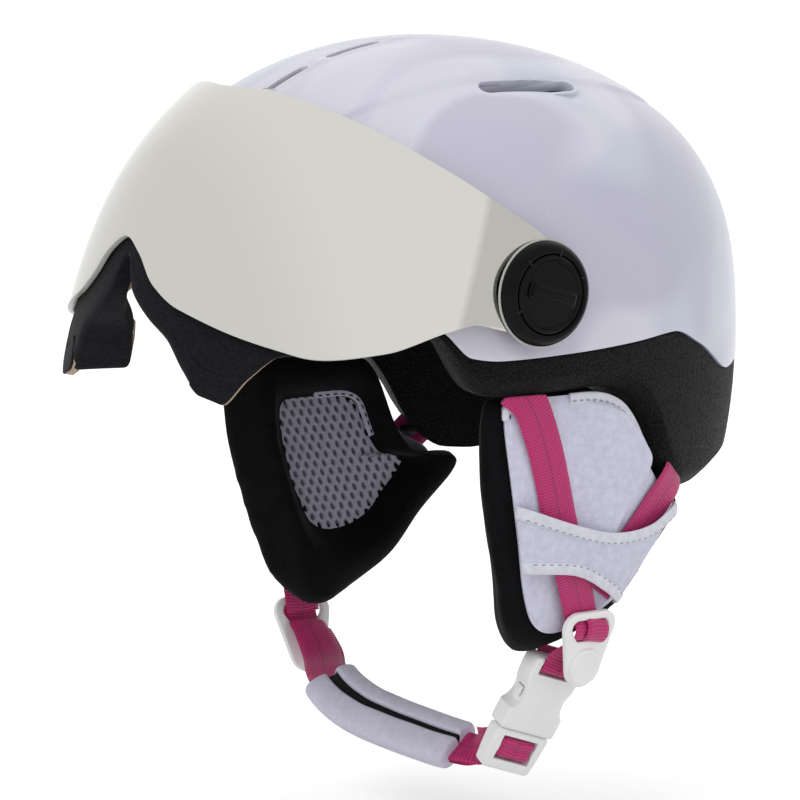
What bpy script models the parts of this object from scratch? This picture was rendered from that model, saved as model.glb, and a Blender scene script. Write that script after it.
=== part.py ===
"""Child's ski helmet with a flip-up visor, modelled as the pieces it is assembled from.

Front is -Y, the wearer's left is +X, up is +Z.  The origin is on the middle plane, at the
level where the shell's wall is widest, so the wearer's head fills the space around it.
"""
import math

import bmesh
import bpy
import numpy as np
from mathutils import Matrix, Vector

MM = 0.001
GAP = 0.35 * MM                      # clearance between pieces that lie against each other
LEFT = 1
RIGHT = -1
SIDES = ((LEFT, "left"), (RIGHT, "right"))

# Helmet form
SHELL_HALF_WIDTH = 100 * MM
SHELL_FRONT = 115 * MM
SHELL_BACK = 137.5 * MM
SHELL_HEIGHT = 119 * MM
SHELL_WALL = 2 * MM
LINER_WALL = 20 * MM
PLAN_POWER = 1.9                     # how the plan shrinks towards the crown
DOME_POWER = 2.9                     # how flat the crown is
NAPE_TUCK = 20.0                     # how fast the wall turns in below the origin, per square metre
LINER_PROUD = 0.4 * MM               # bare liner below the shell's edge, set in from the shell's face
RIM_CHAMFER = 6.5 * MM
RIM_CHAMFER_IN = 5.5 * MM
DOME_ROWS = 8
LINER_INNER_ROWS = 8

# Rim outlines: plan angle from the front in degrees, height in millimetres
SHELL_RIM = ((0, 38), (40, 36), (57, 29), (65, 18), (70, 9), (76, 7.5), (90, 8.3), (105, 10),
             (114.5, 11.5), (123, 5), (137, -8), (150, -5), (180, 0))
LINER_RIM = ((0, 31), (40, 29), (56, 22), (63, 15), (68.5, 0.5), (72, -5.5), (78, -7), (97, -6),
             (102, -7.5), (106, -11), (109, -17), (112, -26), (115, -37), (119, -46), (124, -50.5),
             (130, -51), (138, -48.5), (150, -46), (180, -42))

# Vents: x and y of the middle, length, width
SIDE_VENT = (52.5 * MM, 17 * MM, 44 * MM, 8 * MM)
CENTRE_VENTS = ((0, -26 * MM, 24 * MM, 6 * MM), (0, -57 * MM, 20 * MM, 6 * MM))
VENT_REACH = 60 * MM

# Visor
PIVOT_Y = -15.8 * MM
PIVOT_Z = 32.7 * MM
VISOR_LIFT = 35.8                    # degrees that the visor is raised above its lowered place
LENS_WALL = 2 * MM
LENS_SIDE_ROOM = 3 * MM              # between the shell's widest place and the lens
LENS_FRONT_ROOM = 4.9 * MM           # least room between the shell and the lens as it swings
LENS_PLAN_POWER = 1.562
LENS_PLAN_ROUND = 15 * MM
LENS_END_POWER = 0.7414
LENS_FULL = 4.2 * MM                 # how much the lens swells over each cheekbone, clear of the shell
LENS_FLAT = 8 * MM                   # flat stretch of each arm ahead of its pivot
LENS_SLOPE = 0.2303
LENS_BULGE = 4.9                     # curvature of the lens from top to bottom, per metre
LENS_ROWS = 5
LENS_TOP = ((0, 18.5), (0.15, 21.5), (0.35, 22), (0.6, 20.5), (0.8, 18.8), (0.9, 18.3), (1, 19))
LENS_BOTTOM = ((0, -50.7), (0.06, -55.9), (0.12, -65), (0.2, -70), (0.32, -71.2), (0.5, -67.7),
               (0.68, -51.2), (0.8, -32.2), (0.87, -24.2), (0.92, -22.6), (1, -22.6))
LENS_PLACES = (0, 0.04, 0.08, 0.12, 0.17, 0.23, 0.31, 0.4, 0.5, 0.6, 0.68, 0.76, 0.83, 0.9, 0.96)
FOAM_COLUMNS = 10                    # of the lens's places to each side that the face foam runs along
FOAM_ROOM = 0.9 * MM
FOAM_BASE = 3 * MM                   # base layer that the foam's pad stands on
FOAM_HIGH = ((0, -36), (0.1, -46), (0.2, -54), (0.35, -56), (0.5, -52), (0.6, -47))
FOAM_LOW = ((0, -56), (0.04, -68), (0.1, -75), (0.165, -80), (0.22, -88), (0.28, -94), (0.34, -94),
            (0.4, -82), (0.46, -70), (0.52, -65), (0.6, -57))
FOAM_DEPTH = ((0, 7), (0.1, 13), (0.2, 24), (0.3, 28), (0.36, 26), (0.44, 14), (0.6, 5))
FOAM_RISE = 0.45                     # how far the pad's underside climbs towards the face, per depth

# Pivot and lock knob
BOSS_RADIUS = 12 * MM
SPINDLE_RADIUS = 6 * MM
WASHER = (8 * MM, 1 * MM)             # radius and wall
KNOB_RADIUS = 19.75 * MM
KNOB_HEIGHT = 5.5 * MM
KNOB_RIM = 4.8 * MM
KNOB_FLOOR = 1.6 * MM
LENS_DISC_RIM = 1.3 * MM             # lens that shows round the knob
GRIP = (22 * MM, 6 * MM, 2.6 * MM)   # length, width and height of the knob's grip bar
GRIP_TILT = 15
SCREW_RADIUS = 2.4 * MM
SCREW_HEAD = (4.8 * MM, 2 * MM)
NUT_FLANGE = (8 * MM, 2 * MM)
NUT_BARREL = (4.2 * MM, 3 * MM)
NUT_DEPTH = 5.5 * MM                 # from the shell's face to the nut's flange

# Comfort pads
PAD_THICKNESS = 7 * MM
PAD_EDGE = 2 * MM
PAD_SEAT = 1.5 * MM                  # hook-and-loop dots that hold a pad to the liner
BROW_PAD = (-52, 52, 33, 58)         # plan angles and heights of the patch that each pad covers
SIDE_PAD = (66, 122, 14, 48)
CROWN_PAD = (18 * MM, 38 * MM)       # y of the middle, radius

# Size adjuster at the nape
CRADLE_SPAN = 42                     # degrees to each side of the back
CRADLE_TOP = -18 * MM
CRADLE_HEIGHT = 20 * MM
CRADLE_WALL = 2.6 * MM
NAPE_PAD_SPAN = 30
HOUSING = (44 * MM, 9 * MM, 27 * MM)
HOUSING_ROUND = 3 * MM               # how much the housing tapers at its two ends
DIAL_RADIUS = 13 * MM
DIAL_WIDTH = 6 * MM
DIAL_TEETH = 18
DIAL_DROP = 17 * MM                  # from the housing's top to the dial's axis

# Ear pads: outline in y and z, in millimetres from the middle plane and from the liner's lower edge
EAR_INSET = 7 * MM                   # from the shell's widest place to the cover's face
EAR_LEAN = 1.3                       # how the pad leans in towards the jaw, per metre
EAR_CURL = 2.8                       # how the pad follows the head from front to back, per metre
EAR_OUTLINE = ((-27, -2), (0, -1.6), (22, -2), (33, -7), (38, -17), (43, -32), (50, -44),
               (60, -47.5), (70, -49), (67, -56.5), (53, -71), (37, -88), (18, -96.5), (0, -97.5),
               (-13, -90), (-20, -75), (-26, -56), (-31, -32), (-32, -10))
EAR_CENTRE = (12, -45)
WELL_CENTRE = (25, -46)               # of the well over the ear and of the mesh in it
EAR_POINTS = 34
EAR_LOBE = (2 * MM, 15 * MM)         # y of the soft lobe that hangs inside the jaw, and its half width
EAR_LOBE_DROP = 6.5 * MM
COVER_OUTLINE = ((-16, -2.5), (4, -2), (20, -2.6), (31, -6.5), (38, -13), (44, -22), (50, -33),
                 (57, -41), (66, -47.5), (64, -56), (51, -70), (36, -84), (13, -93), (0, -91), (-7, -78),
                 (-11, -56), (-15, -30), (-17, -12))
COVER_WALL = 2.5 * MM
CUSHION_THICKNESS = 24 * MM
EAR_WELL = 12 * MM                   # depth of the well over the ear, from the cover's face
EAR_WELL_SIZE = 0.53                 # size of the well as a share of the pad's outline
MESH_WALL = 1.5 * MM
POCKET_TOP = ((-13, -44.5), (9, -53), (28, -57.5), (48, -56.5), (65, -49.5))
POCKET_BOTTOM = ((-8.5, -67), (10, -68.7), (25, -76), (35, -83.5))
POCKET_STEPS = 20
POCKET_WALL = 1.2 * MM
POCKET_RISE = 4.8 * MM               # room under the pocket for the two straps

# Straps and buckle
WEBBING = (15 * MM, 1.4 * MM)
FRONT_STRAP = ((-10, -6.3), (-4, -24), (3, -48), (8, -64))
REAR_STRAP = ((65.52, -47.08), (56.52, -56.08), (46.52, -66.58), (36.52, -77.08), (31.52, -84.08))
DIVIDER_PLACE = {LEFT: (20 * MM, -100 * MM), RIGHT: (9 * MM, -116 * MM)}
DIVIDER_EYE = (2.6 * MM, 2.9 * MM)   # height of the eye's upper corners over the middle, and their radius
DIVIDER_EYE_FOOT = (-1.6 * MM, 1.6 * MM)
DIVIDER_SHOULDER = (2.5 * MM, 6 * MM)
DIVIDER_RAIL = 3.6 * MM              # plastic at each side of the eye
DIVIDER_WALL = 2.6 * MM
DIVIDER_LIFT = 4.2 * MM              # from the cover's face to the divider's back
BUTTON = (-13.4 * MM, 7.4 * MM)      # height of the button's middle and its radius
BUTTON_BORDER = 1 * MM
BUTTON_RISE = 1 * MM
ANCHOR_HEIGHT = 3 * MM
STRAP_ROOM = 0.7 * MM                # beside the webbing in a slot
BUCKLE_OFFSET = (-19.5 * MM, -8 * MM, -25 * MM)      # of the buckle's middle from the left divider's
BUCKLE_AXIS = (0.36, 0.28, 0.886)
BUCKLE_FACE = (0.93, -0.13, -0.33)
BUCKLE_CHEEK = 4.3 * MM              # plastic at each side of the webbing slots
FEMALE = (9.5 * MM, 31 * MM)         # thickness and length
FEMALE_WALL = 3.2 * MM               # at each side of the mouth
FEMALE_MOUTH = (5.2 * MM, 19 * MM)   # thickness and depth
FEMALE_WINDOW = 9 * MM
MALE_BASE = (7.5 * MM, 17 * MM)      # thickness and length
PRONG = (4 * MM, 3.6 * MM, 17 * MM)
PRONG_GAP = 0.9 * MM
TONGUE_WIDTH = 3.6 * MM
SLOT = 3.4 * MM                      # height of the webbing slots in both buckle halves
SLOT_BAR = 3.4 * MM                  # bar that the webbing loops round
SLOT_RAIL = 2.6 * MM
# Chin strap: share of the helmet's half width, then y and z in millimetres
CHIN_ROUTE = ((-0.66, 6, -127.5), (-0.52, -2, -132), (-0.35, -8, -136.5), (-0.2, -8.5, -141),
              (-0.06, -6.5, -144), (0.13, -3, -147), (0.31, 0, -149), (0.41, 2.5, -148.5))
CHIN_MIDDLE = (0, -50 * MM, -90 * MM)
CHIN_PAD = (3.5 * MM, 9.5 * MM)      # beside the webbing, and thickness
CHIN_PAD_SIDES = 16
CHIN_SEAM = 1.6 * MM                 # depth of the groove where the pad's two long edges meet
CHIN_PAD_SPAN = (0.27, 0.79)         # share of the chin strap that the pad covers

LENS_HALF_WIDTH = SHELL_HALF_WIDTH + LENS_SIDE_ROOM + LENS_WALL
SHELL_INSET = SHELL_WALL + GAP
LINER_INSET = SHELL_INSET + LINER_WALL
SLOT_WIDTH = WEBBING[0] + 2 * STRAP_ROOM
BUCKLE_WIDTH = SLOT_WIDTH + 2 * BUCKLE_CHEEK
MOUTH_WIDTH = BUCKLE_WIDTH - 2 * FEMALE_WALL
PIVOT = Vector((0, PIVOT_Y, PIVOT_Z))


# Mesh building

def solid(name, rings, start=None, end=None, closed=False):
    """One closed body from rings of points: poles or caps at the ends, or a ring of rings."""
    mesh = bmesh.new()
    loops = [[mesh.verts.new(point) for point in ring] for ring in rings]
    count = len(loops[0])
    pairs = list(zip(loops, loops[1:]))
    if closed:
        pairs.append((loops[-1], loops[0]))
    for lower, upper in pairs:
        for i in range(count):
            j = (i + 1) % count
            triangles(mesh, lower[i], lower[j], upper[j], upper[i])
    if not closed:
        for loop, pole in ((loops[0], start), (loops[-1], end)):
            if pole is None:
                mesh.faces.new(loop)
                continue
            tip = mesh.verts.new(pole)
            for i in range(count):
                mesh.faces.new((loop[i], loop[(i + 1) % count], tip))
    return finish_mesh(name, mesh)


def triangles(mesh, a, b, c, d):
    """Split a four-sided face on its shorter diagonal, so that parallel faces bend alike."""
    if (a.co - c.co).length < (b.co - d.co).length:
        mesh.faces.new((a, b, c))
        mesh.faces.new((a, c, d))
    else:
        mesh.faces.new((a, b, d))
        mesh.faces.new((b, c, d))


def finish_mesh(name, mesh):
    """Turn a bmesh into an object with its faces pointing out and round stretches smooth."""
    bmesh.ops.recalc_face_normals(mesh, faces=mesh.faces)
    if mesh.calc_volume(signed=True) < 0:
        bmesh.ops.reverse_faces(mesh, faces=mesh.faces)
    data = bpy.data.meshes.new(name)
    mesh.to_mesh(data)
    mesh.free()
    data.shade_smooth()
    data.set_sharp_from_angle(angle=math.radians(35))
    item = bpy.data.objects.new(name, data)
    bpy.context.scene.collection.objects.link(item)
    return item


def block(name, size, frame, bevel=0.0):
    """A box of the given size in a frame, with its edges rounded off."""
    mesh = bmesh.new()
    bmesh.ops.create_cube(mesh, size=1, matrix=Matrix.Diagonal((*size, 1)))
    if bevel:
        bmesh.ops.bevel(mesh, geom=mesh.edges[:], offset=bevel, segments=1, affect="EDGES")
    mesh.transform(frame)
    return finish_mesh(name, mesh)


def turned(name, profile, side, segments, centre=PIVOT, closed=False):
    """A turned piece on the visor's axis: profile of distances out along X and radii."""
    rings = []
    for reach, radius in profile:
        angles = [2 * math.pi * i / segments for i in range(segments)]
        rings.append([centre + Vector((side * reach, radius * math.cos(a), radius * math.sin(a)))
                      for a in angles])
    return solid(name, rings, closed=closed)


def boolean(item, cutter, operation="DIFFERENCE"):
    """Cut or join a piece with another shape, which is then a hidden guide."""
    change = item.modifiers.new(operation.lower(), "BOOLEAN")
    change.operation = operation
    change.object = cutter
    cutter.hide_render = True
    cutter.display_type = "WIRE"


def move_origin(item, point):
    """Put an object's origin on a point, such as its joint's axis."""
    item.data.transform(Matrix.Translation(-point))
    item.location = point


def paint(item, colour, roughness, metallic=0.0):
    """Give a piece its own plain finish."""
    finish = bpy.data.materials.new(item.name)
    finish.use_nodes = True
    shader = finish.node_tree.nodes["Principled BSDF"]
    shader.inputs["Base Color"].default_value = (*colour, 1)
    shader.inputs["Roughness"].default_value = roughness
    shader.inputs["Metallic"].default_value = metallic
    finish.diffuse_color = (*colour, 1)
    item.data.materials.append(finish)
    return item


# Curves

def smooth_value(points, at):
    """Height of a smooth curve through points, with no overshoot between them."""
    xs = np.array([p[0] for p in points], float)
    ys = np.array([p[1] for p in points], float)
    steps = np.diff(xs)
    rates = np.diff(ys) / steps
    slopes = np.zeros(len(xs))
    for i in range(1, len(xs) - 1):
        if rates[i - 1] * rates[i] > 0:
            first = 2 * steps[i] + steps[i - 1]
            last = steps[i] + 2 * steps[i - 1]
            slopes[i] = (first + last) / (first / rates[i - 1] + last / rates[i])
    at = min(max(at, xs[0]), xs[-1])
    i = min(int(np.searchsorted(xs, at, side="right")) - 1, len(steps) - 1)
    u = (at - xs[i]) / steps[i]
    bend = ((1 + 2 * u) * (1 - u) ** 2 * ys[i] + u * (1 - u) ** 2 * steps[i] * slopes[i]
            + u * u * (3 - 2 * u) * ys[i + 1] + u * u * (u - 1) * steps[i] * slopes[i + 1])
    return float(bend)


def spline(points, count, loop=False):
    """Points spread along a smooth curve through the given points."""
    points = [Vector(p) for p in points]
    size = len(points)
    spans = size if loop else size - 1
    result = []
    for step in range(count):
        place = spans * step / (count if loop else count - 1)
        i = min(int(place), spans - 1)
        u = place - i
        if loop:
            a, b, c, d = (points[(i + k) % size] for k in (-1, 0, 1, 2))
        else:
            b, c = points[i], points[i + 1]
            a = points[i - 1] if i else b * 2 - c
            d = points[i + 2] if i + 2 < size else c * 2 - b
        result.append(0.5 * (2 * b + (c - a) * u + (2 * a - 5 * b + 4 * c - d) * u * u
                             + (3 * b - a - 3 * c + d) * u ** 3))
    return result


# Helmet form

def column_angles():
    """Plan angles of the dome's columns: closer over the ears, where the rim turns most."""
    half = [*range(0, 60, 10), *range(60, 150, 6), *range(150, 181, 10)]
    return half + [360 - a for a in reversed(half[1:-1])]


def fold(angle):
    """Plan angle from the front, on either side."""
    return min(angle % 360, 360 - angle % 360)


def shell_rim(angle):
    return smooth_value(SHELL_RIM, fold(angle)) * MM


def liner_rim(angle):
    return smooth_value(LINER_RIM, fold(angle)) * MM


def dome(angle, z, inset=0.0):
    """Point of the helmet's form at a plan angle and height, moved inwards by an inset."""
    turn = math.radians(angle)
    if z > 0:
        reach = max(0.0, 1 - (z / (SHELL_HEIGHT - inset)) ** DOME_POWER) ** (1 / PLAN_POWER)
    else:
        reach = 1 - NAPE_TUCK * z * z
    length = (SHELL_FRONT if math.cos(turn) > 0 else SHELL_BACK) - inset
    across = (SHELL_HALF_WIDTH - inset) * reach * math.sin(turn)
    return Vector((across, -length * reach * math.cos(turn), z))


def dome_height(x, y, inset):
    """Height of the helmet's form over a point of its plan."""
    length = (SHELL_FRONT if y < 0 else SHELL_BACK) - inset
    radius = math.hypot(x / (SHELL_HALF_WIDTH - inset), y / length)
    return (SHELL_HEIGHT - inset) * max(0.0, 1 - radius ** PLAN_POWER) ** (1 / DOME_POWER)


def dome_row(rims, inset, share):
    """Ring round the form, a share of the way from each column's rim height to the crown."""
    top = SHELL_HEIGHT - inset
    climb = 1 - (1 - share) ** 2
    return [dome(angle, rim + (top - rim) * climb, inset) for angle, rim in rims]


def crown(inset):
    return Vector((0, 0, SHELL_HEIGHT - inset))


def outer_shell():
    rims = [(a, shell_rim(a)) for a in column_angles()]
    shares = [i / DOME_ROWS for i in range(DOME_ROWS)]
    rings = [dome_row(rims, 0, s) for s in reversed(shares)]
    rings += [dome_row(rims, SHELL_WALL, s) for s in shares]
    shell = solid("outer_shell", rings, crown(0), crown(SHELL_WALL))
    boolean(shell, vent_cutters("shell_vents", 0))
    for side, label in SIDES:
        bore = turned(label + "_shell_bore", ((SHELL_HALF_WIDTH * 0.85, SCREW_RADIUS + 1.2 * MM),
                                              (SHELL_HALF_WIDTH * 1.1, SCREW_RADIUS + 1.2 * MM)), side, 12)
        boolean(shell, bore)
    return paint(shell, (0.72, 0.70, 0.80), 0.25)


def eps_liner():
    angles = column_angles()
    edges = [(a, shell_rim(a) - GAP) for a in angles]
    shares = [i / DOME_ROWS for i in range(DOME_ROWS)]
    rings = [dome_row(edges, SHELL_INSET, s) for s in reversed(shares)]
    rings.append([dome(a, z, LINER_PROUD) for a, z in edges])
    ridge = []
    lip = []
    for a, top in edges:
        low = liner_rim(a)
        ridge.append(dome(a, low + min(RIM_CHAMFER, 0.6 * (top - low)), LINER_PROUD))
        lip.append(dome(a, low, LINER_PROUD + RIM_CHAMFER_IN))
    rings += [ridge, lip]
    inner = [(a, liner_rim(a)) for a in angles]
    rings += [dome_row(inner, LINER_INSET, i / LINER_INNER_ROWS) for i in range(LINER_INNER_ROWS)]
    liner = solid("eps_liner", rings, crown(SHELL_INSET), crown(LINER_INSET))
    boolean(liner, vent_cutters("liner_vents", GAP))
    for side, label in SIDES:
        face = pivot_face()
        radius = NUT_FLANGE[0] + 1 * MM
        depth = NUT_DEPTH + NUT_FLANGE[1] + NUT_BARREL[1] + 1 * MM
        pocket = turned(label + "_nut_pocket", ((face - depth, radius), (face + 10 * MM, radius)), side, 16)
        boolean(liner, pocket)
    return paint(liner, (0.02, 0.02, 0.022), 0.8)


def vent_cutters(name, growth):
    """Slots through the dome: one over each side and a row along the middle."""
    mesh = bmesh.new()
    x, y, length, width = SIDE_VENT
    slots = [(x, y, length, width), (-x, y, length, width), *CENTRE_VENTS]
    for x, y, length, width in slots:
        half = width / 2 + growth
        run = length / 2 - half
        outline = []
        for centre, first in ((run, 0), (-run, 180)):
            for step in range(5):
                turn = math.radians(first + 45 * step)
                outline.append((half * math.cos(turn), centre + half * math.sin(turn)))
        middle = Vector((x, y, dome_height(x, y, 0)))
        lean = math.atan2(x, middle.z)
        frame = Matrix.Translation(middle) @ Matrix.Rotation(lean, 4, "Y")
        loops = [[mesh.verts.new(frame @ Vector((u, v, w))) for u, v in outline]
                 for w in (-VENT_REACH, VENT_REACH / 2)]
        count = len(outline)
        for i in range(count):
            j = (i + 1) % count
            mesh.faces.new((loops[0][i], loops[0][j], loops[1][j], loops[1][i]))
        mesh.faces.new(loops[0])
        mesh.faces.new(loops[1])
    return finish_mesh(name, mesh)


# Visor

def lens_reach():
    """Distance of the lens from the pivot axis: the shell's own, plus room to swing past it."""
    brow = shell_rim(0)
    heights = [brow + (SHELL_HEIGHT - brow) * i / 40 for i in range(41)]
    farthest = max((dome(0, z) - PIVOT).length for z in heights)
    return farthest + LENS_FRONT_ROOM + LENS_WALL


def lens_point(along, up, inset):
    """Point of the lens: along runs from -1 to 1 between the pivots, up is height in its own plane."""
    turn = math.radians(VISOR_LIFT)
    ahead = Vector((0, -math.cos(turn), math.sin(turn)))
    rise = Vector((0, math.sin(turn), math.cos(turn)))
    half = LENS_HALF_WIDTH - inset
    across = half * math.sin(along * math.pi / 2)
    bow = LENS_PLAN_ROUND ** LENS_PLAN_POWER
    widest = (half ** 2 + LENS_PLAN_ROUND ** 2) ** (LENS_PLAN_POWER / 2) - bow
    share = ((across ** 2 + LENS_PLAN_ROUND ** 2) ** (LENS_PLAN_POWER / 2) - bow) / widest
    front = lens_reach() - inset - LENS_SLOPE * up - LENS_BULGE * up * up
    forward = LENS_FLAT + (front - LENS_FLAT) * max(0.0, 1 - share) ** LENS_END_POWER
    forward += LENS_FULL * 4 * share * (1 - share)
    return PIVOT + Vector((across, 0, 0)) + ahead * forward + rise * up


def lens_disc_point(side, turn_back, height, inset):
    """Point of the round end of the lens's arm, behind the pivot."""
    turn = math.radians(VISOR_LIFT)
    ahead = Vector((0, -math.cos(turn), math.sin(turn)))
    rise = Vector((0, math.sin(turn), math.cos(turn)))
    return PIVOT + Vector((side * (LENS_HALF_WIDTH - inset), 0, 0)) - ahead * turn_back + rise * height


def lens_edges(along):
    """Lower and upper edge of the lens, in its own plane."""
    place = abs(along)
    return smooth_value(LENS_BOTTOM, place) * MM, smooth_value(LENS_TOP, place) * MM


def section(low, high, rows, point, wall):
    """Closed outline of a curved sheet: up its face and down its back."""
    heights = [low + (high - low) * i / rows for i in range(rows + 1)]
    return [point(h, 0) for h in heights] + [point(h, wall) for h in reversed(heights)]


def lens_places(count):
    """Places along the lens, out to the given number of them on each side."""
    half = list(LENS_PLACES[:count])
    return [-place for place in reversed(half[1:])] + half


def visor_lens():
    disc = KNOB_RADIUS + LENS_DISC_RIM
    places = lens_places(len(LENS_PLACES))
    rings = []
    for along in places:
        low, high = lens_edges(along)
        rings.append(section(low, high, LENS_ROWS, lambda h, w, s=along: lens_point(s, h, w), LENS_WALL))
    ends = {LEFT: [], RIGHT: []}
    for side in ends:
        for turn in (0, 25, 47, 66, 80):
            back = disc * math.sin(math.radians(turn))
            tall = disc * math.cos(math.radians(turn))
            ends[side].append(section(-tall, tall, LENS_ROWS,
                                      lambda h, w, b=back, s=side: lens_disc_point(s, b, h, w), LENS_WALL))
    rings = list(reversed(ends[RIGHT])) + rings + ends[LEFT]
    lens = solid("visor_lens", rings)
    for side, label in SIDES:
        radius = SPINDLE_RADIUS + GAP
        hole = turned(label + "_lens_hole", ((LENS_HALF_WIDTH - 8 * MM, radius),
                                             (LENS_HALF_WIDTH + 8 * MM, radius)), side, 20)
        boolean(lens, hole)
    move_origin(lens, PIVOT)
    return paint(lens, (0.66, 0.66, 0.63), 0.12, 0.9)


def visor_face_foam():
    """Soft foam inside the lens's lower edge: a base layer, with a lobe beside each side of the nose."""
    rings = []
    back = LENS_WALL + FOAM_ROOM
    for along in lens_places(FOAM_COLUMNS):
        place = abs(along)
        low = smooth_value(FOAM_LOW, place) * MM
        high = smooth_value(FOAM_HIGH, place) * MM
        deep = smooth_value(FOAM_DEPTH, place) * MM
        base = FOAM_BASE / deep if deep > 2 * FOAM_BASE else 0.5
        shape = ((0, 0), (0.5, 0), (1, 0), (1, 0.3), (0.62, 0.5), (0.34, 0.8), (0.2, 0.98), (0.06, 1), (0, 0.9),
                 (0, 0.45))
        ring = []
        for h, d in shape:
            rise = FOAM_RISE * deep * max(d - base, 0)
            ring.append(lens_point(along, low + (high - low) * h + rise, back + deep * d))
        rings.append(ring)
    foam = solid("visor_face_foam", rings)
    move_origin(foam, PIVOT)
    return paint(foam, (0.015, 0.015, 0.016), 0.9)


# Pivots

def pivot_face():
    """Distance of the shell's face from the middle plane at the pivot."""
    reach = max(0.0, 1 - (PIVOT_Z / SHELL_HEIGHT) ** DOME_POWER) ** (1 / PLAN_POWER)
    length = SHELL_FRONT if PIVOT_Y < 0 else SHELL_BACK
    return SHELL_HALF_WIDTH * math.sqrt(reach ** 2 - (PIVOT_Y / length) ** 2)


def dome_cutter(name):
    """The whole helmet form, one clearance larger, to fit a piece to the shell's face."""
    rims = [(a, -BOSS_RADIUS) for a in column_angles()]
    room = 3 * GAP
    rings = [dome_row(rims, -room, i / DOME_ROWS) for i in range(DOME_ROWS)]
    return solid(name, rings, None, crown(-room))


def pivot_pieces(side, label):
    """Boss, washer, ring, screw and nut that carry the visor on one side, and the lock knob."""
    lens_back = LENS_HALF_WIDTH - LENS_WALL
    seat = lens_back - GAP - WASHER[1]
    boss_top = seat - GAP
    bore = SCREW_RADIUS + GAP
    base = pivot_face() - 8 * MM
    boss = turned(label + "_pivot_boss", (
        (base, bore), (base, BOSS_RADIUS), (boss_top - 1 * MM, BOSS_RADIUS), (boss_top, BOSS_RADIUS - 1 * MM),
        (boss_top, SPINDLE_RADIUS), (LENS_HALF_WIDTH, SPINDLE_RADIUS), (LENS_HALF_WIDTH, bore)),
        side, 20, closed=True)
    boolean(boss, dome_cutter(label + "_boss_seat"))
    paint(boss, (0.03, 0.03, 0.03), 0.5)

    hole = SPINDLE_RADIUS + GAP
    washer = turned(label + "_friction_washer", (
        (seat, hole), (seat, WASHER[0]), (seat + WASHER[1], WASHER[0]),
        (seat + WASHER[1], hole)), side, 20, closed=True)
    paint(washer, (0.6, 0.6, 0.58), 0.6)

    foot = LENS_HALF_WIDTH + GAP
    floor = foot + KNOB_FLOOR
    top = foot + KNOB_HEIGHT
    well = KNOB_RADIUS - KNOB_RIM
    ring = turned(label + "_knob_ring", (
        (foot, bore), (foot, KNOB_RADIUS - 0.8 * MM), (foot + 1 * MM, KNOB_RADIUS),
        (foot + 2.6 * MM, KNOB_RADIUS - 0.6 * MM), (top - 0.6 * MM, KNOB_RADIUS - 2.4 * MM),
        (top, KNOB_RADIUS - 3.4 * MM), (top, well + 0.5 * MM), (top - 0.5 * MM, well), (floor, well),
        (floor, bore)), side, 22, closed=True)
    paint(ring, (0.012, 0.012, 0.013), 0.3)

    head = floor + GAP
    radius, tall = SCREW_HEAD
    nut_face = pivot_face() - NUT_DEPTH
    tip = nut_face - NUT_FLANGE[1] - NUT_BARREL[1]
    screw = turned(label + "_pivot_screw", (
        (tip, SCREW_RADIUS - 0.5 * MM), (tip + 0.8 * MM, SCREW_RADIUS), (head, SCREW_RADIUS), (head, radius),
        (head + tall * 0.6, radius), (head + tall, radius * 0.6)), side, 16)
    paint(screw, (0.55, 0.55, 0.56), 0.35, 1.0)

    flange, thick = NUT_FLANGE
    barrel = NUT_BARREL[0]
    thread = SCREW_RADIUS + GAP
    nut = turned(label + "_pivot_nut", (
        (tip + 0.5 * MM, thread), (tip + 0.5 * MM, barrel), (nut_face - thick, barrel),
        (nut_face - thick, flange), (nut_face, flange), (nut_face, thread)), side, 16, closed=True)
    paint(nut, (0.5, 0.5, 0.5), 0.4, 1.0)

    start = head + tall + GAP
    disc = well - GAP
    level = max(top - 0.2 * MM, start + 1.4 * MM)
    knob = turned(label + "_turn_knob", (
        (start, disc), (level - 0.6 * MM, disc), (level, disc - 0.8 * MM)), side, 22)
    length, width, height = GRIP
    length = min(length, 2 * disc - 4 * MM)
    tilt = Matrix.Rotation(math.radians(GRIP_TILT) * side, 4, "X")
    place = Matrix.Translation(PIVOT + Vector((side * (level + height / 2 - 0.4 * MM), 0, 0)))
    bar = block(label + "_grip_bar", (height + 0.8 * MM, length, width), place @ tilt, 1.2 * MM)
    boolean(knob, bar, "UNION")
    move_origin(knob, PIVOT)
    paint(knob, (0.01, 0.01, 0.011), 0.2)


# Comfort pads

def crowned(u, v):
    """How full a cushion is at a place in its outline: nothing at the edge, one in the middle."""
    return ((1 - abs(2 * u - 1) ** 4) * (1 - abs(2 * v - 1) ** 4)) ** 0.5


def liner_pad(name, patch, thickness, inset, columns, rows):
    """Cushion on a patch of the form, crowned towards the head."""
    first, last, low, high = patch
    rings = []
    for i in range(columns + 1):
        u = i / columns
        angle = first + (last - first) * u
        heights = [low * MM + (high - low) * MM * j / rows for j in range(rows + 1)]
        back = [dome(angle, z, inset) for z in heights]
        face = [dome(angle, z, inset + PAD_EDGE + (thickness - PAD_EDGE) * crowned(u, j / rows))
                for j, z in enumerate(heights)]
        rings.append(back + list(reversed(face)))
    return solid(name, rings)


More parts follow.
